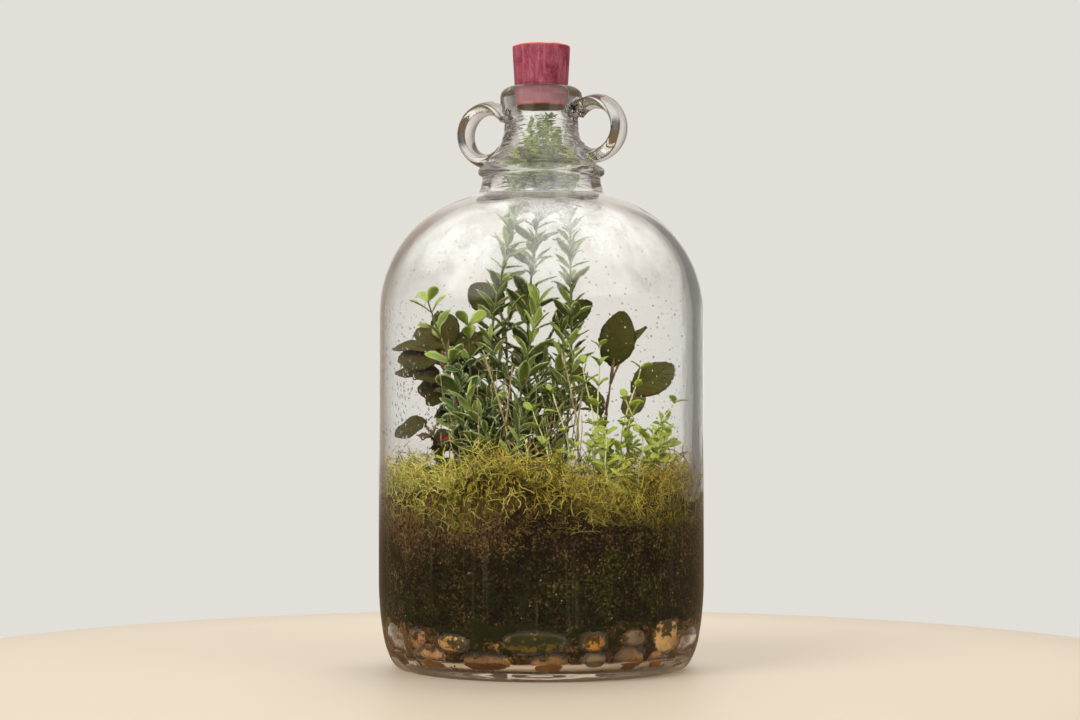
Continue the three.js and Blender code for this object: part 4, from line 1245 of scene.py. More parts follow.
def moss_strand(name, fresh, old):
    """Strands of moss: a lit copy of their colours to the left, fresh yellow-green, and a shaded copy to the
    right, more gold and olive, as painted light and shade, and brown below.
    """
    s = Look(name)
    place = s.place()
    u, _, z = s.from_front(place)
    pick = s.wires("ShaderNodeAttribute", attribute_name="shade")["Fac"]
    lit = s.ramp(pick, (0.0, paint(92, 94, 18)), (0.3, fresh), (0.65, paint(255, 244, 150)), (1.0, old))
    olive, gold, brown = paint(80, 84, 16), paint(236, 216, 100), paint(80, 76, 18)
    shaded_strand_colours = s.ramp(pick, (0.0, olive), (0.3, old), (0.65, gold), (1.0, brown))
    # Painted light and shade: the strands to the left take the lit colours, those to the right the shaded
    # ones.
    base = s.blend(s.between(u, -0.062, 0.0) + (s.noise(place, 42.0) - 0.5), lit, shaded_strand_colours)
    low = s.between(z + s.noise(place, 80.0) * 0.024, 0.106, 0.082)
    base = s.blend(low * 0.7, base, paint(50, 38, 14))
    body = s.skin(Base_Color=base, Roughness=0.55, Specular_IOR_Level=0.2)
    return s.finished(s.lit_from_behind(0.3, body, base))


def small_leaf(name, young, grown, margin, rib, margin_at, pairs=6.0, margin_share=0.9, glow=0.2):
    """A leaf, grown low on the stem and young at its tip, with a rib, side veins and a margin."""
    s = Look(name)
    place = s.place()
    tone = s.wires("ShaderNodeAttribute", attribute_name="tone")["Color"]
    age, own, _ = s.wires("ShaderNodeSeparateColor", tone).values()
    veins = s.group(veins_group(), Pairs=pairs, Slant=1.5, Vein_Width=0.14, Margin=margin_at)
    base = s.blend(s.between(age + (own - 0.5) * 0.25, 0.42, 0.94), grown, young)
    base = s.blend(s.noise(place, 260.0, 4.0) * 0.4, base, dimmed(grown, 0.55))
    base = s.blend(veins["Veins"] * 0.25, base, rib)
    base = s.blend(veins["Rib"] * 0.55, base, rib)
    base = s.blend(veins["Margin"] * margin_share, base, margin)
    normal = s.bump(s.noise(place, 500.0, 2.0) - veins["Veins"], 0.3, 0.0005)
    return s.finished(s.lit_from_behind(glow, s.skin(Base_Color=base, Roughness=0.42, Normal=normal), base))


def nerve_leaf(leaf, vein):
    """Dark olive leaves with a net of veins, which is red with a rosy margin on the leaves to the left."""
    s = Look("nerve_leaf")
    place = s.place()
    u, _, _ = s.from_front(place)
    veins = s.group(veins_group(), Pairs=8.0, Slant=2.2, Vein_Width=0.13, Margin=0.9)
    base = s.blend(s.noise(place, 150.0, 4.0), dimmed(leaf, 0.6), leaf)
    # Painted shade: the leaves to the left are darkened towards a deep olive.
    base = s.blend(s.between(u, -0.02, -0.045, 0.0, 0.8), base, paint(60, 66, 22))
    red = s.between(u, 0.012, -0.05, 0.02, 0.24)
    blush = s.between(s.noise(place, 45.0, 3.0), 0.59, 0.66, 0.0, 3.2)
    base = s.blend(blush * red, base, vein)
    net = s.between(s.cells(place, 420.0, feature="DISTANCE_TO_EDGE"), 0.1, 0.03)
    lines = s.most(veins["Rib"], veins["Veins"], net * 0.2)
    base = s.blend(lines * (red * 0.55), base, vein)
    base = s.blend(veins["Margin"] * red * 0.4, base, vein)
    normal = s.bump(s.noise(place, 400.0, 2.0) - lines, 0.5, 0.0006)
    return s.finished(s.lit_from_behind(0.22, s.skin(Base_Color=base, Roughness=0.5, Normal=normal), base))


def stalk(name, colour, dark):
    """A stem with fine lines along it."""
    s = Look(name)
    lines = s.noise(s.stretched(s.place(), 0.15), 700.0, 4.0, 0.7)
    base = s.blend(s.between(lines, 0.35, 0.65), dark, colour)
    return s.finished(s.skin(Base_Color=base, Roughness=0.55, Normal=s.bump(lines, 0.4, 0.0005)))


# Scattering with Geometry Nodes


def scatter_tree(upright, material):
    """Shapes set at random on a surface, which they follow unless they are upright."""
    tree = bpy.data.node_groups.new("Scatter", "GeometryNodeTree")
    sizes = {
        "Density": ("Float", 1000.0), "Smallest": ("Float", 0.6), "Largest": ("Float", 1.3),
        "Lean": ("Float", 0.3)
    }
    given = {"Surface": ("Geometry", None), "Shapes": ("Collection", None), "Seed": ("Int", 1), **sizes}
    add_sockets(tree, given, {"Mesh": "Geometry"})
    n = Nodes(tree)
    given = n.wires("NodeGroupInput")

    def enabled(sockets):
        return [socket for socket in sockets if socket.enabled]

    def random_value(data_type, low=None, high=None, seed=None):
        node = n.add("FunctionNodeRandomValue", data_type=data_type, Seed=seed)
        for socket, value in zip(enabled(node.inputs), (low, high)):
            n.feed(socket, value)
        return Wire(n, enabled(node.outputs)[0])

    bed = dict(Mesh=given["Surface"], Density=given["Density"], Seed=given["Seed"])
    points = n.wires("GeometryNodeDistributePointsOnFaces", **bed)
    picked = dict(Separate_Children=True, Reset_Children=True)
    shapes = n.wire("GeometryNodeCollectionInfo", Collection=given["Shapes"], **picked)
    most = n.wire("ShaderNodeCombineXYZ", X=given["Lean"], Y=given["Lean"], Z=pi)
    least = n.wire("ShaderNodeVectorMath", most, operation="SCALE", Scale=-1.0)
    turn = random_value("FLOAT_VECTOR", least, most)
    if not upright:
        turn = n.wire("FunctionNodeEulerToRotation", turn)
        turn = n.wire("FunctionNodeRotateRotation", points["Rotation"], turn, rotation_space="LOCAL")
    size = random_value("FLOAT", given["Smallest"], given["Largest"], given["Seed"])
    placed = dict(Points=points["Points"], Instance=shapes, Pick_Instance=True, Rotation=turn, Scale=size)
    instances = n.wire("GeometryNodeInstanceOnPoints", **placed)
    marked = dict(data_type="FLOAT", domain="INSTANCE", Name="shade")
    shaded = n.add("GeometryNodeStoreNamedAttribute", instances, **marked)
    n.feed([socket for socket in enabled(shaded.inputs) if socket.name == "Value"][0], random_value("FLOAT"))
    real = n.wire("GeometryNodeRealizeInstances", Wire(n, shaded.outputs[0]))
    n.add("NodeGroupOutput", n.wire("GeometryNodeSetMaterial", real, Material=material))
    return tree


def scattered(name, surface, shapes, material, upright=False, **values):
    """A plain mesh of shapes set on a surface. The surface and the shapes are used up."""
    tree = scatter_tree(upright, material)
    group = bpy.data.collections.new(name + "_shapes")
    bpy.context.scene.collection.children.link(group)
    for shape in shapes:
        bpy.context.scene.collection.objects.unlink(shape)
        group.objects.link(shape)
    modifier = surface.modifiers.new("Scatter", "NODES")
    modifier.node_group = tree
    known = {item.name: item.identifier for item in tree.interface.items_tree if item.in_out == "INPUT"}
    modifier[known["Shapes"]] = group
    for title, value in values.items():
        modifier[known[title.capitalize()]] = value
    mesh = evaluated_mesh(surface)
    surface.modifiers.remove(modifier)
    mesh.name = name
    mesh.materials.clear()
    mesh.materials.append(material)
    made = linked(name, mesh)
    for shape in list(group.objects):
        removed(shape)
    bpy.data.collections.remove(group)
    removed(surface)
    bpy.data.node_groups.remove(tree)
    return made


# Pieces: the bottle and its stopper


def ring_handle(side):
    """A flat glass strap bent to a ring, which spreads a little where it runs into the neck."""
    build = Build()
    steps, sides = 40, 20
    rings = []
    for i in range(steps + 1):
        share = i / steps
        angle = RING_HALF_SWEEP * (1 - 2 * share)
        spread = 1 + 0.16 * abs(1 - 2 * share) ** 6
        centre = Vector((RING_X + RING_RADIUS * cos(angle), 0, RING_Z + RING_RADIUS * sin(angle)))
        away = Vector((cos(angle), 0, sin(angle)))

        def strap(turn):
            place = centre + away * (RING_THICKNESS / 2 * cos(turn) * spread)
            place += Vector((0, RING_WIDTH / 2 * sin(turn), 0))
            return side * place.x, place.y, place.z

        rings.append(build.ring(strap, sides))
    build.ring_walls(rings)
    build.face(rings[0])
    build.face(rings[-1])
    return outward(build.object("ring_handle"))


def drifted(place):
    dx, dy = drift_at(place.z)
    return Vector((place.x + dx, place.y + dy, place.z))


def boolean_of(base, cuts):
    for tool, operation in cuts:
        modifier = base.modifiers.new(operation.title(), "BOOLEAN")
        modifier.operation, modifier.object, modifier.solver = operation, tool, "EXACT"
    mesh, name = evaluated_mesh(base), base.name
    for tool, _ in cuts:
        removed(tool)
    removed(base)
    return linked(name, mesh)


def softened_joins(made):
    """Runs the glass of the handles smoothly into the neck."""
    work = bmesh.new()
    work.from_mesh(made.data)
    # The boolean gives its corners in an order that changes from run to run
    in_order = sorted(work.verts, key=lambda vert: vert.co[:])
    bmesh.ops.remove_doubles(work, verts=in_order, dist=0.00005)
    creases = set()
    for edge in work.edges:
        middle = (edge.verts[0].co + edge.verts[1].co) / 2 / MM
        if JOIN_REACH[0] < middle.z < JOIN_REACH[1] and len(edge.link_faces) == 2 and abs(middle.y) < 9.5:
            near_ring = abs(hypot(abs(middle.x) - RING_X, middle.z - RING_Z) - RING_RADIUS) < JOIN_WIDTH
            bent = edge.calc_face_angle() > JOIN_CREASE
            if near_ring and bent and hypot(middle.x, middle.y) > BORE_RADIUS + 2:
                creases.update(edge.verts)
    near = set(creases)
    for _ in range(3):
        near |= {edge.other_vert(vert) for vert in near for edge in vert.link_edges}
    near = [vert for vert in near if hypot(vert.co.x, vert.co.y) / MM > BORE_RADIUS + 2.5]
    for _ in range(8):
        bmesh.ops.smooth_vert(
            work, verts=near, factor=0.5, use_axis_x=True, use_axis_y=True, use_axis_z=True
        )
    bmesh.ops.recalc_face_normals(work, faces=work.faces)
    work.to_mesh(made.data)
    work.free()
    return made


class GARDEN_OT_bottle(bpy.types.Operator):
    """Adds the glass bottle with its two ring handles"""

    bl_idname = "garden.bottle"
    bl_label = "Bottle"

    def execute(self, context):
        look = context.scene.garden_bottle
        outside = turned(outside_profile(), 144, "demijohn")
        inside = settled(turned(INSIDE, 144, "room"), drifted)
        handles = [(ring_handle(side), "UNION") for side in (1, -1)]
        made = softened_joins(boolean_of(outward(outside), [*handles, (outward(inside), "DIFFERENCE")]))
        mesh = made.data
        mesh.materials.clear()
        mesh.materials.append(clear_glass(look.rim_shade_colour))
        mesh.materials.append(wet_glass())
        for face in mesh.polygons:
            place = face.center / MM
            dx, dy = drift_at(place.z)
            away = hypot(place.x - dx, place.y - dy)
            inner = FLOOR_Z - 3 < place.z < STOPPER_BOTTOM_Z and away < inner_radius(place.z) + 0.4
            face.material_index = 1 if inner else 0
        mesh.polygons.foreach_set("use_smooth", [True] * len(mesh.polygons))
        mesh.set_sharp_from_angle(angle=SHARP_FROM)
        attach(made, "root")
        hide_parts("bottle_glass")
        return {"FINISHED"}


class GARDEN_OT_stopper(bpy.types.Operator):
    """Adds the rubber stopper in the mouth of the bottle"""

    bl_idname = "garden.stopper"
    bl_label = "Stopper"

    def execute(self, context):
        edge, bottom = 0.4, STOPPER_BOTTOM_Z + STOPPER_LIFT
        profile = [
            (0, bottom), (STOPPER_BOTTOM_RADIUS - 2, bottom), (STOPPER_BOTTOM_RADIUS - edge, bottom),
            (STOPPER_BOTTOM_RADIUS, bottom + edge),
            (lerp(STOPPER_BOTTOM_RADIUS, STOPPER_TOP_RADIUS, 0.5), lerp(bottom, STOPPER_TOP_Z, 0.5)),
            (STOPPER_TOP_RADIUS, STOPPER_TOP_Z - edge), (STOPPER_TOP_RADIUS - edge, STOPPER_TOP_Z),
            (STOPPER_TOP_RADIUS - 2, STOPPER_TOP_Z), (0, STOPPER_TOP_Z - 0.2)
        ]
        made = outward(turned(rounded(profile, 2), 96, "rubber_stopper"))
        dents = settled(made, lambda p: p * (1 + 0.0008 * noise.noise(p * 0.22)))
        dents.data.materials.append(rubber(context.scene.garden_bottle.stopper_colour))
        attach(made, "root")
        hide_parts("stopper")
        return {"FINISHED"}


def wall_band(name, low, high, inset, rows, segments):
    """An open band that follows the inside of the glass and faces inwards."""
    build = Build()
    rings = []
    for i in range(rows + 1):
        z = lerp(low, high, i / rows)
        rings.append(build.ring(lambda a: wall_point(a, z, inset), segments))
    build.ring_walls(rings[::-1])
    return build.object(name)


def mist_shell(low, high, rows=26, segments=120):
    """A closed skin, a tenth of a millimetre thick, just clear of the inside of the dome."""
    build = Build()
    heights = [lerp(low, high, i / rows) for i in range(rows + 1)]
    route = [(z, 0.15) for z in heights] + [(z, 0.25) for z in reversed(heights)]
    rings = []
    for z, inset in [*route, route[0]]:
        rings.append(build.ring(lambda a: wall_point(a, z, inset), segments))
    build.ring_walls(rings)
    return outward(build.object("dome_mist"), 0.00001)


def drop_shape(name, height, stretch):
    build = Build()
    levels = [(0.9, 0.0)]
    for share in (0.35, 0.72):
        levels.append((cos(share * pi / 2), height * sin(share * pi / 2)))
    rings = []
    for radius, z in levels:
        rings.append(build.ring(lambda a: (radius * cos(a), radius * stretch * sin(a), z), 8))
    build.ring_walls(rings)
    build.face(reversed(rings[0]))
    build.face(rings[-1])
    return build.object(name)


class GARDEN_OT_condensation(bpy.types.Operator):
    """Adds the mist on the dome and the drops on the inside of the glass"""

    bl_idname = "garden.condensation"
    bl_label = "Mist and Drops"

    def execute(self, context):
        look = context.scene.garden_bottle
        mist = mist_shell(*MIST_REACH)
        mist.data.materials.append(dew(look.mist))
        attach(mist, "root")
        shapes = [
            drop_shape("drop_a", 0.55, 1.0), drop_shape("drop_b", 0.5, 1.25),
            drop_shape("drop_c", 0.62, 0.85)
        ]
        wall = wall_band("drop_wall", *DROPS_REACH, 0.12, 24, 72)
        sizes = dict(density=look.drops, seed=4, smallest=0.1, largest=0.7, lean=0.0)
        drops = scattered("water_drops", wall, shapes, water(), **sizes)
        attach(drops, "root")
        return {"FINISHED"}


# Pieces: stones, soil and moss


def stone_from(node):
    """A water-worn stone near the place and size of its solid, pressed on the wet glass."""
    corners = merged_verts(node)
    centre = corners.mean(axis=0)
    bearing = atan2(centre[1], centre[0])
    level = np.array([cos(bearing), sin(bearing), 0.0])
    across = np.array([-level[1], level[0], 0.0])
    half = [np.abs((corners - centre) @ axis).max() for axis in (level, across, np.array([0, 0, 1.0]))]
    work = bmesh.new()
    bmesh.ops.create_icosphere(work, subdivisions=5, radius=1.0)
    seed = Vector((centre[0] * 0.37, centre[1] * 0.41, len(node) + half[1]))
    places = []
    for vert in work.verts:
        way = vert.co.normalized()
        square = sum(abs(c) ** 2.5 for c in way) ** (-1 / 2.5)
        bulge = 1 + 0.1 * noise.noise(way * 1.3 + seed) + 0.025 * noise.noise(way * 4 + seed)
        size = [way[k] * square * bulge * half[k] * 1.05 for k in range(3)]
        places.append(Vector(centre + size[0] * level + size[1] * across + size[2] * np.array([0, 0, 1.0])))
    sink = 0.8 if min(place.z for place in places) < 9 else 0.0
    gap = min(inner_radius(place.z - sink) - hypot(place.x, place.y) for place in places)
    step = Vector(level) * (gap + PEBBLE_PRESS) - Vector((0, 0, sink))
    for vert, place in zip(work.verts, places):
        place = place + step
        place.z = max(place.z, STONE_FLOOR_Z)
        vert.co = kept_inside(place, SOAK) * MM
    return smooth_object(node + "_stone", work)


def rough_stone(name, seed):
    """A small stone of a few dozen faces, about a millimetre across its half."""
    work = bmesh.new()
    bmesh.ops.create_icosphere(work, subdivisions=2, radius=1.0)
    shift = Vector((seed * 3.1, seed * 1.7, 0.4))
    flat = 0.6 + 0.1 * (seed % 3)
    for vert in work.verts:
        way = vert.co.normalized()
        bulge = 1 + 0.3 * noise.noise(way * 1.1 + shift)
        vert.co = Vector((way.x * bulge, way.y * bulge * 0.8, way.z * bulge * flat)) * MM
    return smooth_object(name, work)


def on_surface(angle, radius, height_at):
    x, y = seen_round(angle, radius, 0).xy
    return x, y, height_at(x, y)


def ring_floor(name, low_radius, high_radius, height_at, rings=12, segments=96):
    """An open surface between two radii, with its height given by a rule."""
    build = Build()
    rows = []
    for i in range(rings + 1):
        radius = lerp(low_radius, high_radius, i / rings)
        rows.append(build.ring(lambda a: on_surface(a, radius, height_at), segments))
    build.ring_walls(rows[::-1])
    return build.object(name)


def gravel_floor(segments=64):
    """Level rings one above the other, and a band along the wall, on which gravel is set."""
    build = Build()
    for z, reach in ((9, 68), (14, 72), (19, 73), (24, 74)):
        radii = (reach, 54, 34, 14)
        build.ring_walls([build.ring(lambda a: seen_round(a, r, z), segments) for r in radii])
    build.ring_walls([build.ring(lambda a: wall_point(a, z, 2.4), segments) for z in (31, 26, 20, 14, 8)])
    return build.object("gravel_floor")


def silt_inset(angle, z, stones):
    """How far the silt lies from the glass: it touches it, but passes behind the stones that show there."""
    inset = SOAK / 2
    for bearing, height, half_width, half_height in stones:
        across = (angle - bearing + pi) % (2 * pi) - pi
        off = hypot(across * BODY_RADIUS / half_width, (z - height) / half_height)
        inset = max(inset, lerp(7, SOAK / 2, smoothstep(off, 0.74, 1)))
    return inset


def spread_of(stone):
    """A stone's bearing, height and half sizes along the glass."""
    places = np.array([v.co for v in stone.data.vertices]) / MM
    centre = (places.max(axis=0) + places.min(axis=0)) / 2
    bearing = bearing_of(centre[0], centre[1])
    along = seen_round(bearing + pi / 2, 1, 0)
    sides = places[:, 0] * along.x + places[:, 1] * along.y
    return bearing, centre[2], np.ptp(sides) / 2, np.ptp(places[:, 2]) / 2


class GARDEN_OT_pebbles(bpy.types.Operator):
    """Adds the pebbles of the drainage layer and the fine gravel between them"""

    bl_idname = "garden.pebbles"
    bl_label = "Pebbles and Gravel"

    def execute(self, context):
        ground = context.scene.garden_ground
        algae = ground.algae_colour
        materials = {slot: wet_pebble(slot, algae) for slot in STONE_COLOURS}
        stones = []
        for node in NODES:
            if node.startswith("pebble_") and node != "pebble_bed":
                stone = stone_from(node)
                stones.append(spread_of(stone))
                stone.data.materials.append(materials[SLOT_OF[node]])
                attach(stone, "root")
                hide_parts(node)
        shapes = [rough_stone(f"small_stone_{i}", i + 1) for i in range(5)]
        sizes = dict(density=ground.gravel, seed=11, smallest=1.5, largest=4.4, lean=3.0)
        gravel = scattered("fine_gravel", gravel_floor(), shapes, fine_gravel(algae), **sizes)
        settled(gravel, lambda p: kept_inside(Vector((p.x, p.y, max(p.z, STONE_FLOOR_Z - 0.1))), SOAK))
        rows = [level_row(40, 10), level_row(62, 9.4), level_row(69.5, 9.2)]
        for step in range(SILT_ROWS):
            z = SILT_BOTTOM_Z + SILT_STEP * step
            rows.append(lambda a, z=z: wall_point(a, z, silt_inset(a, z, stones)))
        rows.append(level_row(50, 33))
        silt = closed_drum("silt", rows, 240, wet_silt(algae))
        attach(silt, "root")
        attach(gravel, "root")
        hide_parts("pebble_bed")
        return {"FINISHED"}


def level_row(radius, z):
    """A row of a closed body at one height."""
    return lambda a: seen_round(a, radius, z)


def closed_drum(name, rows, segments, material):
    """A closed body of rings, given as functions of the angle, with a corner in the middle of each end."""
    build = Build()
    rings = [build.ring(row, segments) for row in rows]
    build.ring_walls(rings)
    for ring, turn in ((rings[0], True), (rings[-1], False)):
        middle = np.mean([build.corners[i] for i in ring], axis=0) / MM
        centre = build.corner(middle)
        for k in range(segments):
            after = (k + 1) % segments
            build.face((centre, ring[after], ring[k]) if turn else (centre, ring[k], ring[after]))
    made = outward(build.object(name, [material]))
    made.data.set_sharp_from_angle(angle=SHARP_FROM)
    return made


def soil_foot(angle):
    """The height at which the soil ends at the glass, above and between the stones."""
    way = way_at(angle)
    slow = noise.noise(way * 2.1 + Vector((3, 1, 0)))
    fast = noise.noise(way * 9 + Vector((0, 5, 2)))
    fine = noise.noise(way * 31)
    return 27.5 + 4.5 * slow + 3.2 * fast + 1.4 * fine


class GARDEN_OT_soil(bpy.types.Operator):
    """Adds the potting soil, pressed against the glass all round"""

    bl_idname = "garden.soil"
    bl_label = "Soil"

    def execute(self, context):
        rows = []
        for radius in (22, 45, 62, 72):
            rows.append(
                lambda a,
                r=radius: seen_round(a, r, lerp(SOIL_BOTTOM_Z + 1, soil_foot(a) + 1.5, (r / 78) ** 2))
            )
        rows.append(lambda a: wall_point(a, soil_foot(a) + 0.4, 1.6))
        steps = 24
        for i in range(steps + 1):
            rows.append(lambda a, t=i / steps: wall_point(a, lerp(soil_foot(a) + 1.0, SOIL_TOP_Z, t), SOAK))
        rows += [level_row(50, SOIL_TOP_Z), level_row(20, SOIL_TOP_Z)]
        soil = closed_drum("potting_soil", rows, 360, ground_cover(context.scene.garden_ground))
        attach(soil, "root")
        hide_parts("soil")
        return {"FINISHED"}


def mat_top(x, y):
    """The closed part of the moss, from which the loose strands rise."""
    rough = 1.6 * noise.noise(
        Vector((x * 0.13, y * 0.13, 0.0))
    ) + 0.8 * noise.noise(Vector((x * 0.5, y * 0.5, 3.0)))
    wall = smoothstep(hypot(x, y), 45, 78)
    hollow = 7 * wall * bell(bearing_of(x, y), 0.5, 0.2) - 3 * wall * bell(bearing_of(x, y), -0.25, 0.3)
    return moss_top(x, y) - hollow - lerp(3, 15, wall) + rough * lerp(1, 2.4, wall)


def strand_shape(name, seed, length, branches, curl):
    """A curled, branching strand of moss."""
    random = seeded_random(seed)
    build = Build()

    def grown(place, way, reach, steps, wide, thin):
        points, turn = [place], random() * 6.3
        for _ in range(steps):
            place = place + way * (reach / steps)
            points.append(place)
            way = (way + way_at(turn, 0.4 * sin(2 * turn)) * curl).normalized()
            turn += 2.4 * (random() - 0.4)
        tube(build, points, [lerp(wide, thin, i / steps) for i in range(steps + 1)], 3)
        return points

    main = grown(
        Vector((0, 0, 0)), Vector((random() - 0.5, random() - 0.5, 1.6)).normalized(), length, 9, 0.3, 0.13
    )
    for b in range(branches):
        at = 2 + int(7 * (b + random() * 0.8) / branches)
        angle = random() * 6.3
        out = way_at(angle, 0.7).normalized()
        grown(main[min(at, 8)], out, length * (0.2 + 0.2 * random()), 3, 0.22, 0.1)
    return build.object(name)


class GARDEN_OT_moss(bpy.types.Operator):
    """Adds the moss: a closed mat, strands that rise from it and strands pressed against the glass"""

    bl_idname = "garden.moss"
    bl_label = "Moss"

    def execute(self, context):
        ground = context.scene.garden_ground
        fresh, old = ground.moss_fresh, ground.moss_old
        rows = [level_row(30, SOIL_TOP_Z + 0.2)]
        steps = 16
        for i in range(steps + 1):

            def row(a, share=i / steps):
                z = lerp(SOIL_TOP_Z, mat_top(*seen_round(a, 79, 0).xy) - 1, share)
                return wall_point(a, z, lerp(SOAK, 2.0, smoothstep(share, 0.8, 1.0)))

            rows.append(row)
        for radius in (76, 72.5, 69, 65, 60, 54, 47, 39, 30, 20, 9):
            rows.append(lambda a, r=radius: Vector(on_surface(a, r, mat_top)))
        mat = closed_drum("moss_mat", rows, 300, bpy.data.materials.get("ground") or ground_cover(ground))
        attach(mat, "root")
        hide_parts("moss")
        strands = moss_strand("moss_strand", fresh, old)
        rim = dict(density=ground.strands, seed=21, smallest=0.7, largest=1.45, lean=0.6)
        middle = dict(density=ground.strands * 0.3, seed=22, smallest=0.5, largest=1.0, lean=0.7)
        beds = (("moss_strands_rim", (64, 78), rim, 0.12), ("moss_strands_middle", (6, 64), middle, 0.2))
        for name, radii, sizes, room in beds:
            bed = ring_floor(name + "_bed", *radii, lambda x, y: mat_top(x, y) - 2.5)
            shapes = [strand_shape(f"strand_{i}", sizes["seed"] * 10 + i, 21, 4, 0.4) for i in range(8)]
            made = scattered(name, bed, shapes, strands, True, **sizes)
            settled(made, lambda p: kept_inside(p, room))
            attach(made, "root")
        band = wall_band("pressed_bed", *PRESSED_REACH, 0.2, 8, 96)
        shapes = [strand_shape(f"pressed_{i}", 400 + i, 12.0, 3, 0.5) for i in range(8)]
        pressed = moss_strand("pressed_strand", fresh, old)
        sizes = dict(density=ground.pressed_strands, seed=31, smallest=0.7, largest=1.5, lean=0.8)
        made = scattered("moss_strands_on_glass", band, shapes, pressed, True, **sizes)
        settled(made, lambda p: squeezed_on_glass(p, -0.42, 0.1))
        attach(made, "root")
        return {"FINISHED"}


def squeezed_on_glass(place, outer, inner):
    """The place, moved to between two insets from the inside of the glass."""
    dx, dy = drift_at(place.z)
    x, y = place.x - dx, place.y - dy
    away, wall = hypot(x, y), inner_radius(place.z)
    pull = min(max(away, wall - inner), wall - outer) / away
    return Vector((x * pull + dx, y * pull + dy, place.z))


# Pieces: plants

CROWD, NERVES, STALKS, STEMS = planted()


class ShootPath:
    """A side shoot that leaves a stem outwards and then turns up."""

    def __init__(self, start, way, reach, rise):
        self.start = start
        self.bend = start + way * reach * 0.75 + Vector((0, 0, rise * 0.2))
        self.tip = start + way * reach + Vector((0, 0, rise))

    def point(self, t):
        return bezier(self.start, self.bend, self.tip, t)

    def place(self, share):
        return self.point(share), (self.point(share) - self.point(share - 0.04)).normalized()


def roomy_leaf(plant, row, side, wobble, rows):
    """The first leaf out of a few turns and sizes that stays clear of glass, moss and stopper."""
    for shrink in (*SHRINKS, 0.42):
        for turn in TURNS:
            leaf = paired_leaf(plant, row, side, wobble, turn, shrink, rows)
            if CROWD.clear_of_walls(balls_of(leaf)):
                return leaf
    return None


def more_leaves(plant, rows):
    """Leaves between the pairs that the solid has."""
    random = seeded_random(900 + plant["seed"])
    found = [roomy_leaf(plant, i // 2 + 0.5, i % 2, wobble_of(random, plant), rows) for i in range(rows * 2)]
    return [leaf for leaf in found if leaf]


def side_shoots(plant, count):
    """Side shoots with their leaves, low on a stem."""
    reach_up = 0.25 if plant["kind"] == "seedling" else 0.6
    random = seeded_random(700 + plant["seed"])
    shoots = []
    for i in range(count):
        base, _ = plant["path"].place(0.04 + reach_up * i / count)
        angle, reach, rise = random() * 6.3, 11 + 8 * random(), 15 + 16 * random()
        for turn in range(8):
            way = way_at(angle + turn * 0.8)
            path = ShootPath(base, way, reach, rise)
            if CROWD.clear_of_walls([(path.tip, 3.5), (path.bend, 2.0)]):
                own = {
                    **plant, "seed": plant["seed"] + 100 * i, "path": path, "first_leaf": 0.2,
                    "bearing": angle
                }
                own.update(low_leaf=plant["low_leaf"] * 0.72, top_leaf=plant["top_leaf"] * 0.8)
                shoots.append((path, more_leaves(own, 5)))
                break
    return shoots


def stem_tube(build, path, radius, steps=26, sides=8):
    points = [path.point(i / steps) for i in range(steps + 1)]
    radii = [radius * lerp(1, 0.42, (i / steps) ** 1.5) for i in range(steps + 1)]
    tones = [(lerp(0.2, 1, i / steps), 0.5, 0.0) for i in range(steps + 1)]
    tube(build, points, radii, sides, 1, tones)


def leafy_piece(plant, name, leaf_look, stem_look, rows, shoots):
    build = Build()
    stem_tube(build, plant["path"], plant["stem_radius"] * 0.92)
    random = seeded_random(300 + plant["seed"])
    own = plant
    if plant["outline"] == "lance":
        own = {
            **plant, "leaf_shape": 0.25, "low_leaf": plant["low_leaf"] * 1.15, "low_lift": 0.2, "roll": 2.6
        }
    leaves = [*plant["leaves"], *more_leaves(own, rows)]
    if plant["path"].tip.z > NECK_Z:
        path = plant["path"]
        thin = {**plant, "leaf_shape": 0.2, "low_leaf": 12, "top_leaf": 12, "low_lift": 0.1, "top_lift": 0.6}
        leaves += more_leaves({**thin, "seed": 60, "first_leaf": path.share_at(200), "bearing": 0.7}, 10)
        leaves += more_leaves({**thin, "seed": 61, "first_leaf": path.share_at(240), "bearing": 1.4}, 6)
        thin.update(leaf_shape=0.27, low_leaf=13, low_lift=0.4)
        for turn in range(8):
            start, _ = plant["path"].place(path.share_at(238 + turn))
            way = way_at(turn * 0.9)
            for reach, rise in ((14, 12), (10, 20), (7, 30)):
                shoot = ShootPath(start, way, reach, rise + turn)
                if CROWD.clear_of_walls([(shoot.tip, 1.0), (shoot.bend, 1.0), (shoot.point(0.8), 1.0)]):
                    stem_tube(build, shoot, plant["stem_radius"] * 0.5, 9, 6)
                    leaves += more_leaves({**thin, "seed": 80 + turn, "path": shoot, "first_leaf": 0.15}, 6)
    for path, grown in side_shoots(own, shoots):
        stem_tube(build, path, plant["stem_radius"] * 0.6, 9, 6)
        leaves += grown
        for leaf in grown:
            leaf.age *= 0.75
    for leaf in leaves:
        blade(build, leaf, plant["outline"], (leaf.age, random(), random()), ripple=0.12)
    made = outward(build.object(name, [leaf_look, stem_look]))
    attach(made, "root")
    return made


def numbered_nodes(kind):
    return [node for node in NODES if node.startswith(kind + "_")]


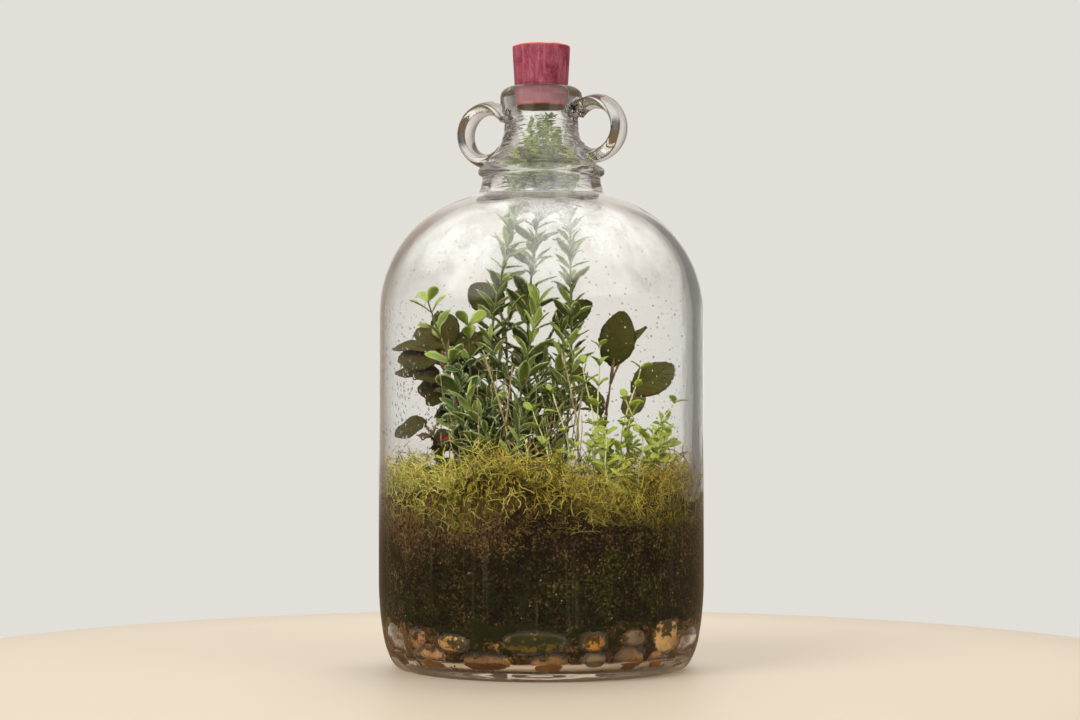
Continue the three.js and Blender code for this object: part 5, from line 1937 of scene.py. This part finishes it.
class GARDEN_OT_shrubs(bpy.types.Operator):
    """Adds the shrubs, whose lance-shaped leaves have a cream margin"""

    bl_idname = "garden.shrubs"
    bl_label = "Shrubs"

    def execute(self, context):
        look = context.scene.garden_plants
        grown, young, margin = look.shrub_leaf, look.shrub_tip, look.shrub_margin
        lance = small_leaf("shrub_leaf", young, grown, margin, paint(104, 126, 74), 0.7, margin_share=0.85)
        spoon = small_leaf("spoon_leaf", young, paint(58, 92, 42), margin, paint(128, 156, 80), 0.66)
        stem = stalk("shrub_stem", paint(118, 132, 70), paint(74, 84, 44))
        shrubs = [plant for plant in STEMS if plant["kind"] == "shrub"]
        shoots = {6: 7, 7: 2, 8: 6, 9: 6, 10: 7, 4: 3, 5: 3}
        for plant, node in zip(shrubs, numbered_nodes("shrub")):
            look_of_leaf = spoon if plant["outline"] == "spoon" else lance
            rows = plant["pairs"] * (1 if plant["outline"] == "spoon" else 2)
            made = leafy_piece(
                plant, node + "_foliage", look_of_leaf, stem, rows, shoots.get(plant["seed"], 0)
            )
            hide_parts(node)
        return {"FINISHED"}


class GARDEN_OT_seedlings(bpy.types.Operator):
    """Adds the seedlings, with thin pale stems and small fresh leaves"""

    bl_idname = "garden.seedlings"
    bl_label = "Seedlings"

    def execute(self, context):
        fresh = context.scene.garden_plants.seedling_leaf
        young, margin, rib = paint(176, 196, 84), paint(190, 206, 110), paint(170, 190, 96)
        leaf = small_leaf("seedling_leaf", young, fresh, margin, rib, 0.93, 4.0, 0.5, 0.35)
        stem = stalk("seedling_stem", paint(236, 234, 184), paint(208, 206, 140))
        seedlings = [plant for plant in STEMS if plant["kind"] == "seedling"]
        for plant, node in zip(seedlings, numbered_nodes("seedling")):
            made = leafy_piece(plant, node + "_foliage", leaf, stem, 0, 3)
            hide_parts(node)
        return {"FINISHED"}


class GARDEN_OT_nerve_plants(bpy.types.Operator):
    """Adds the nerve plants, with broad dark leaves and red veins"""

    bl_idname = "garden.nerve_plants"
    bl_label = "Nerve Plants"

    def execute(self, context):
        look = context.scene.garden_plants
        leaf_look = nerve_leaf(look.nerve_leaf, look.nerve_vein)
        stem_look = stalk("nerve_stem", paint(150, 118, 78), paint(104, 82, 52))
        for number, ((seed, path, leaves), node) in enumerate(zip(NERVES, numbered_nodes("nerve_plant"))):
            leaves = [*leaves, *[broad_leaf(*leaf) for i, *leaf in LOW_NERVE_LEAVES if i == number]]
            build = Build()
            random = seeded_random(200 + seed)
            stem_tube(build, path, NERVE_STEM_RADIUS)
            for leaf in leaves:
                share = min(0.97, max(path.free, (leaf.base.z - 7 - path.foot.z) / path.rise))
                start, into = path.point(share), leaf.at(0.16, 0, -0.2)
                bend = start.lerp(leaf.base, 0.6)
                tube(build, bent_line(start, bend, into, 6), [0.85] * 5 + [0.7, 0.4], 6, 1)
                blade(build, leaf, "broad", (0.3, random(), random()), 0.5, 10, 0.5)
            made = outward(build.object(node + "_foliage", [leaf_look, stem_look]))
            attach(made, "root")
            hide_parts(node)
        return {"FINISHED"}


class GARDEN_OT_dry_stalks(bpy.types.Operator):
    """Adds the dry forked stalks and the fine wiry roots among the stems"""

    bl_idname = "garden.dry_stalks"
    bl_label = "Dry Stalks"

    def execute(self, context):
        straw = stalk("dry_stalk", paint(208, 188, 140), paint(150, 128, 86))
        for (seed, path, fork), node in zip(STALKS, numbered_nodes("dry_stalk")):
            build = Build()
            random = seeded_random(seed)
            points = [
                path.point(i / 30) + seen(0.5 * (random() - 0.5), 0.5 * (random() - 0.5), 0)
                for i in range(31)
            ]
            tube(
                build, points,
                [STALK_RADIUS * (1.1 if i % 6 == 3 else lerp(0.95, 0.5, i / 30)) for i in range(31)], 6
            )
            tube(build, fork, [lerp(0.5, 0.3, i / 10) for i in range(11)], 6)
            made = outward(build.object(node + "_stalk", [straw]))
            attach(made, "root")
            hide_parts(node)
        build = Build()
        random = seeded_random(77)
        for _ in range(80):
            u, v = lerp(-50, 24, random()), lerp(-44, 6, random())
            low = seen(u, v, 0)
            low.z = moss_top(low.x, low.y) - 3
            reach = 30 + 42 * random()
            lean = seen(16 * (random() - 0.5), 12 * (random() - 0.5), 0)
            sway = seen(9 * (random() - 0.5), 8 * (random() - 0.5), 0)
            points = []
            for i in range(9):
                t = i / 8
                points.append(
                    kept_inside(low + lean * t + sway * sin(t * 5) + Vector((0, 0, reach * t)), 2.0)
                )
            tube(build, points, [lerp(0.34, 0.16, i / 8) for i in range(9)], 4)
        wiry = stalk("wiry_root", paint(196, 178, 132), paint(122, 100, 64))
        made = outward(build.object("wiry_roots", [wiry]))
        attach(made, "root")
        return {"FINISHED"}


# The stage

CAMERA_DISTANCE = 1.2175
CAMERA_HEIGHT = 0.1331
LENS = 77.87
SENSOR_WIDTH = 36
IMAGE_SIZE = (1080, 720)
AXIS_PIXEL = 541.3
HORIZON_PIXEL = 411.6

# How bright it is all round, from straight behind the bottle (0) round to behind the camera (1)
DIM_SIDES = [(0.28, 0.4), (0.42, 0.2), (0.52, 0.06), (1.0, 0.035)]
LEFT_SIDE = [(0.08, 1.14), (0.11, 0.72), (0.2, 0.66), *DIM_SIDES]
RIGHT_SIDE = [(0.08, 1.14), (0.1, 0.4), (0.2, 0.34), *DIM_SIDES]
PALE = (1.0, 0.985, 0.965, 1)
PANES = (1.7, 1.68, 1.64, 1)
CEILING = (0.96, 0.95, 0.92, 1)
BELOW_HORIZON = (0.24, 0.17, 0.11, 1)


def lamp(name, place, size, power):
    """A round lamp that points at the middle of the bottle, and is itself not seen."""
    data = bpy.data.lights.new(name, "AREA")
    data.shape, data.size, data.energy = "DISK", size, power
    made = linked(name, data)
    made.location = place
    made.rotation_euler = (Vector((0, 0, 0.14)) - Vector(place)).to_track_quat("-Z", "Y").to_euler()
    made.visible_camera = made.visible_glossy = made.visible_transmission = False


def studio_world(wall):
    """Pale light all round, darker at each side behind the bottle. The camera sees a plain backdrop."""
    world = bpy.data.worlds.new("studio")
    bpy.context.scene.world = world
    world.use_nodes = True
    world.node_tree.nodes.clear()
    s = Shader(world.node_tree)
    u, v, z = s.from_front(s.wires("ShaderNodeTexCoord")["Generated"])
    share = s.math("ARCTAN2", abs(u), v) / pi
    sides = []
    for side in (LEFT_SIDE, RIGHT_SIDE):
        sides.append(s.ramp(share, *[(at, (*[level * c for c in PALE[:3]], 1)) for at, level in side]))
    light = s.blend(s.between(z, 0.35, 0.7), s.blend(s.between(u, -0.08, 0.08), *sides), CEILING)
    panes = s.between(share, 0.56, 0.62) * s.between(share, 0.86, 0.8)
    panes = panes * (s.between(z, 0.2, 0.26) * s.between(z, 0.8, 0.72))
    light = s.blend(panes, light, PANES)
    below = s.between(z, 0.0, -0.06)
    light = s.blend(below, light, BELOW_HORIZON)
    path = s.wires("ShaderNodeLightPath")
    turned_off = path["Glossy Depth"] + path["Diffuse Depth"]
    through = (turned_off < 0.5) * (path["Transmission Depth"] > 3.5)
    light = s.blend(through * s.most(s.between(share, 0.2, 0.3), below), light, PALE)
    room = s.wire("ShaderNodeBackground", s.blend(1.0, light, wall, "MULTIPLY"), 1.0)
    plain = s.wire("ShaderNodeBackground", wall, 1.0)
    s.add("ShaderNodeOutputWorld", Surface=s.wire("ShaderNodeMixShader", path["Is Camera Ray"], room, plain))


def floor_paint(colour):
    s = Look("floor_paint")
    grain = s.noise(s.place(), 30.0, 5.0)
    base = s.blend(grain * 0.35, colour, dimmed(colour, 0.9))
    # The floor glows a little: painted light that lightens the shade under and around the bottle.
    return s.finished(s.skin(Base_Color=base, Roughness=0.5, Emission_Color=colour, Emission_Strength=0.42))


class GARDEN_OT_stage(bpy.types.Operator):
    """Adds the floor, the soft studio light and the camera"""

    bl_idname = "garden.stage"
    bl_label = "Floor, Light and Camera"

    def execute(self, context):
        look = context.scene.garden_stage
        scene = context.scene
        studio_world(look.wall_colour)
        profile = [(0, -20), (40, -20), (look.floor_radius / MM - 4, -20), (look.floor_radius / MM, -16)]
        profile += [
            (look.floor_radius / MM, -2.5), (look.floor_radius / MM - 2.5, -0.05), (40, -0.05), (0, -0.05)
        ]
        floor = outward(turned(rounded(profile, 1), 128, "floor"))
        floor.data.materials.append(floor_paint(look.floor_colour))
        floor.visible_glossy = False
        lamp("key", seen(-1.1, -1.0, 1.3), 1.1, look.lamp_power)
        lamp("fill", seen(1.3, -0.9, 0.8), 1.2, look.lamp_power * 0.4)
        lamp("top", seen(0.1, 0.5, 1.5), 0.9, look.lamp_power * 0.6)
        camera = linked("camera", bpy.data.cameras.new("camera"))
        camera.location = seen(0, -CAMERA_DISTANCE, CAMERA_HEIGHT)
        camera.rotation_euler = (pi / 2, 0, VIEW_TURN)
        camera.data.sensor_width, camera.data.lens = SENSOR_WIDTH, LENS
        width, height = IMAGE_SIZE
        camera.data.shift_x = (width / 2 - AXIS_PIXEL) / width
        camera.data.shift_y = (HORIZON_PIXEL - height / 2) / width
        camera.data.clip_start, camera.data.clip_end = 0.01, 50
        scene.camera = camera
        scene.view_settings.view_transform = "Standard"
        scene.cycles.max_bounces = scene.cycles.transmission_bounces = 24
        scene.cycles.transparent_max_bounces = 24
        scene.cycles.glossy_bounces = 8
        return {"FINISHED"}


# Settings, panel and registration


def colour_setting(name, place, *colour):
    return bpy.props.FloatVectorProperty(
        name=name, description=f"Colour of {place}", default=colour if len(colour) == 4 else paint(*colour),
        subtype="COLOR", size=4, min=0, max=1
    )


def number_setting(name, description, default, high, low=0, **more):
    return bpy.props.FloatProperty(
        name=name, description=description, default=default, min=low, max=high, **more
    )


class BottleSettings(bpy.types.PropertyGroup):
    """Looks of the glass, its condensation and the stopper"""

    # The rim colour is painted shade, with which the rims of the glass are darkened.
    rim_shade_colour: colour_setting("Rim Colour", "light through the rims of the glass", 0.37, 0.32, 0.285, 1)
    stopper_colour: colour_setting("Stopper Colour", "the rubber stopper", 134, 42, 64)
    mist: number_setting("Mist", "How thick the mist on the dome is", 0.3, 1, subtype="FACTOR")
    drops: number_setting("Drops per Square Metre", "How many drops hang on the glass", 22000, 90000)


class GroundSettings(bpy.types.PropertyGroup):
    """Looks of the stones, the soil and the moss"""

    gravel: number_setting("Gravel per Square Metre", "How many small stones each layer has", 16000, 30000)
    soil_dark: colour_setting("Dark Soil", "the wet compost", 14, 11, 6)
    soil_brown: colour_setting("Brown Fibres", "the fibres in the upper soil", 150, 106, 72)
    algae_colour: colour_setting("Algae", "the growth on low soil and on stones", 38, 46, 14)
    moss_fresh: colour_setting("Fresh Moss", "the young strands", 214, 212, 88)
    moss_old: colour_setting("Old Moss", "the old strands", 188, 158, 54)
    strands: number_setting("Strands per Square Metre", "How many strands rise at the rim", 105000, 400000)
    pressed_strands: number_setting(
        "Pressed Strands per Square Metre", "How many strands lie on the glass", 95000, 400000
    )


class PlantSettings(bpy.types.PropertyGroup):
    """Colours of the plants"""

    shrub_leaf: colour_setting("Shrub Leaf", "the grown shrub leaves", 92, 102, 40)
    shrub_tip: colour_setting("Shrub Tip", "the young shrub leaves", 184, 202, 88)
    shrub_margin: colour_setting("Shrub Margin", "the margin of the shrub leaves", 206, 214, 150)
    seedling_leaf: colour_setting("Seedling Leaf", "the seedlings' leaves", 208, 216, 102)
    nerve_leaf: colour_setting("Nerve Leaf", "the broad leaves", 92, 90, 28)
    nerve_vein: colour_setting("Nerve Vein", "the veins in the broad leaves", 190, 50, 66)


class StageSettings(bpy.types.PropertyGroup):
    """Floor, backdrop and light"""

    floor_radius: number_setting("Floor Radius", "Radius of the round floor", 0.36, 5, 0.1, unit="LENGTH")
    floor_colour: colour_setting("Floor Colour", "the floor", 154, 143, 127)
    wall_colour: colour_setting("Backdrop Colour", "all that is behind", 226, 223, 217)
    lamp_power: number_setting("Lamp Power", "Power of the main lamp in watts", 37, 500)


class GARDEN_PT_panel(bpy.types.Panel):
    """Lists the pieces of the bottle garden"""

    bl_idname = "GARDEN_PT_panel"
    bl_label = "Bottle Garden"
    bl_space_type = "VIEW_3D"
    bl_region_type = "UI"
    bl_category = "Garden"

    def draw(self, context):
        for title, settings in SETTINGS.items():
            box = self.layout.box()
            group = getattr(context.scene, title)
            for name in settings.__annotations__:
                box.prop(group, name)
        for piece in OPERATORS:
            self.layout.operator(piece.bl_idname)


OPERATORS = (
    GARDEN_OT_bottle, GARDEN_OT_stopper, GARDEN_OT_condensation, GARDEN_OT_pebbles, GARDEN_OT_soil,
    GARDEN_OT_moss, GARDEN_OT_nerve_plants, GARDEN_OT_dry_stalks, GARDEN_OT_shrubs, GARDEN_OT_seedlings,
    GARDEN_OT_stage
)
SETTINGS = {
    "garden_bottle": BottleSettings, "garden_ground": GroundSettings, "garden_plants": PlantSettings,
    "garden_stage": StageSettings
}


def register():
    for kind in (*SETTINGS.values(), *OPERATORS, GARDEN_PT_panel):
        bpy.utils.register_class(kind)
    for title, settings in SETTINGS.items():
        setattr(bpy.types.Scene, title, bpy.props.PointerProperty(type=settings))


def unregister():
    for title in SETTINGS:
        delattr(bpy.types.Scene, title)
    for kind in (GARDEN_PT_panel, *reversed(OPERATORS), *reversed(tuple(SETTINGS.values()))):
        bpy.utils.unregister_class(kind)


def main():
    register()
    bpy.ops.garden.bottle()
    bpy.ops.garden.stopper()
    bpy.ops.garden.condensation()
    bpy.ops.garden.pebbles()
    bpy.ops.garden.soil()
    bpy.ops.garden.moss()
    bpy.ops.garden.nerve_plants()
    bpy.ops.garden.dry_stalks()
    bpy.ops.garden.shrubs()
    bpy.ops.garden.seedlings()
    bpy.ops.garden.stage()
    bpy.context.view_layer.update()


if __name__ == "__main__":
    main()
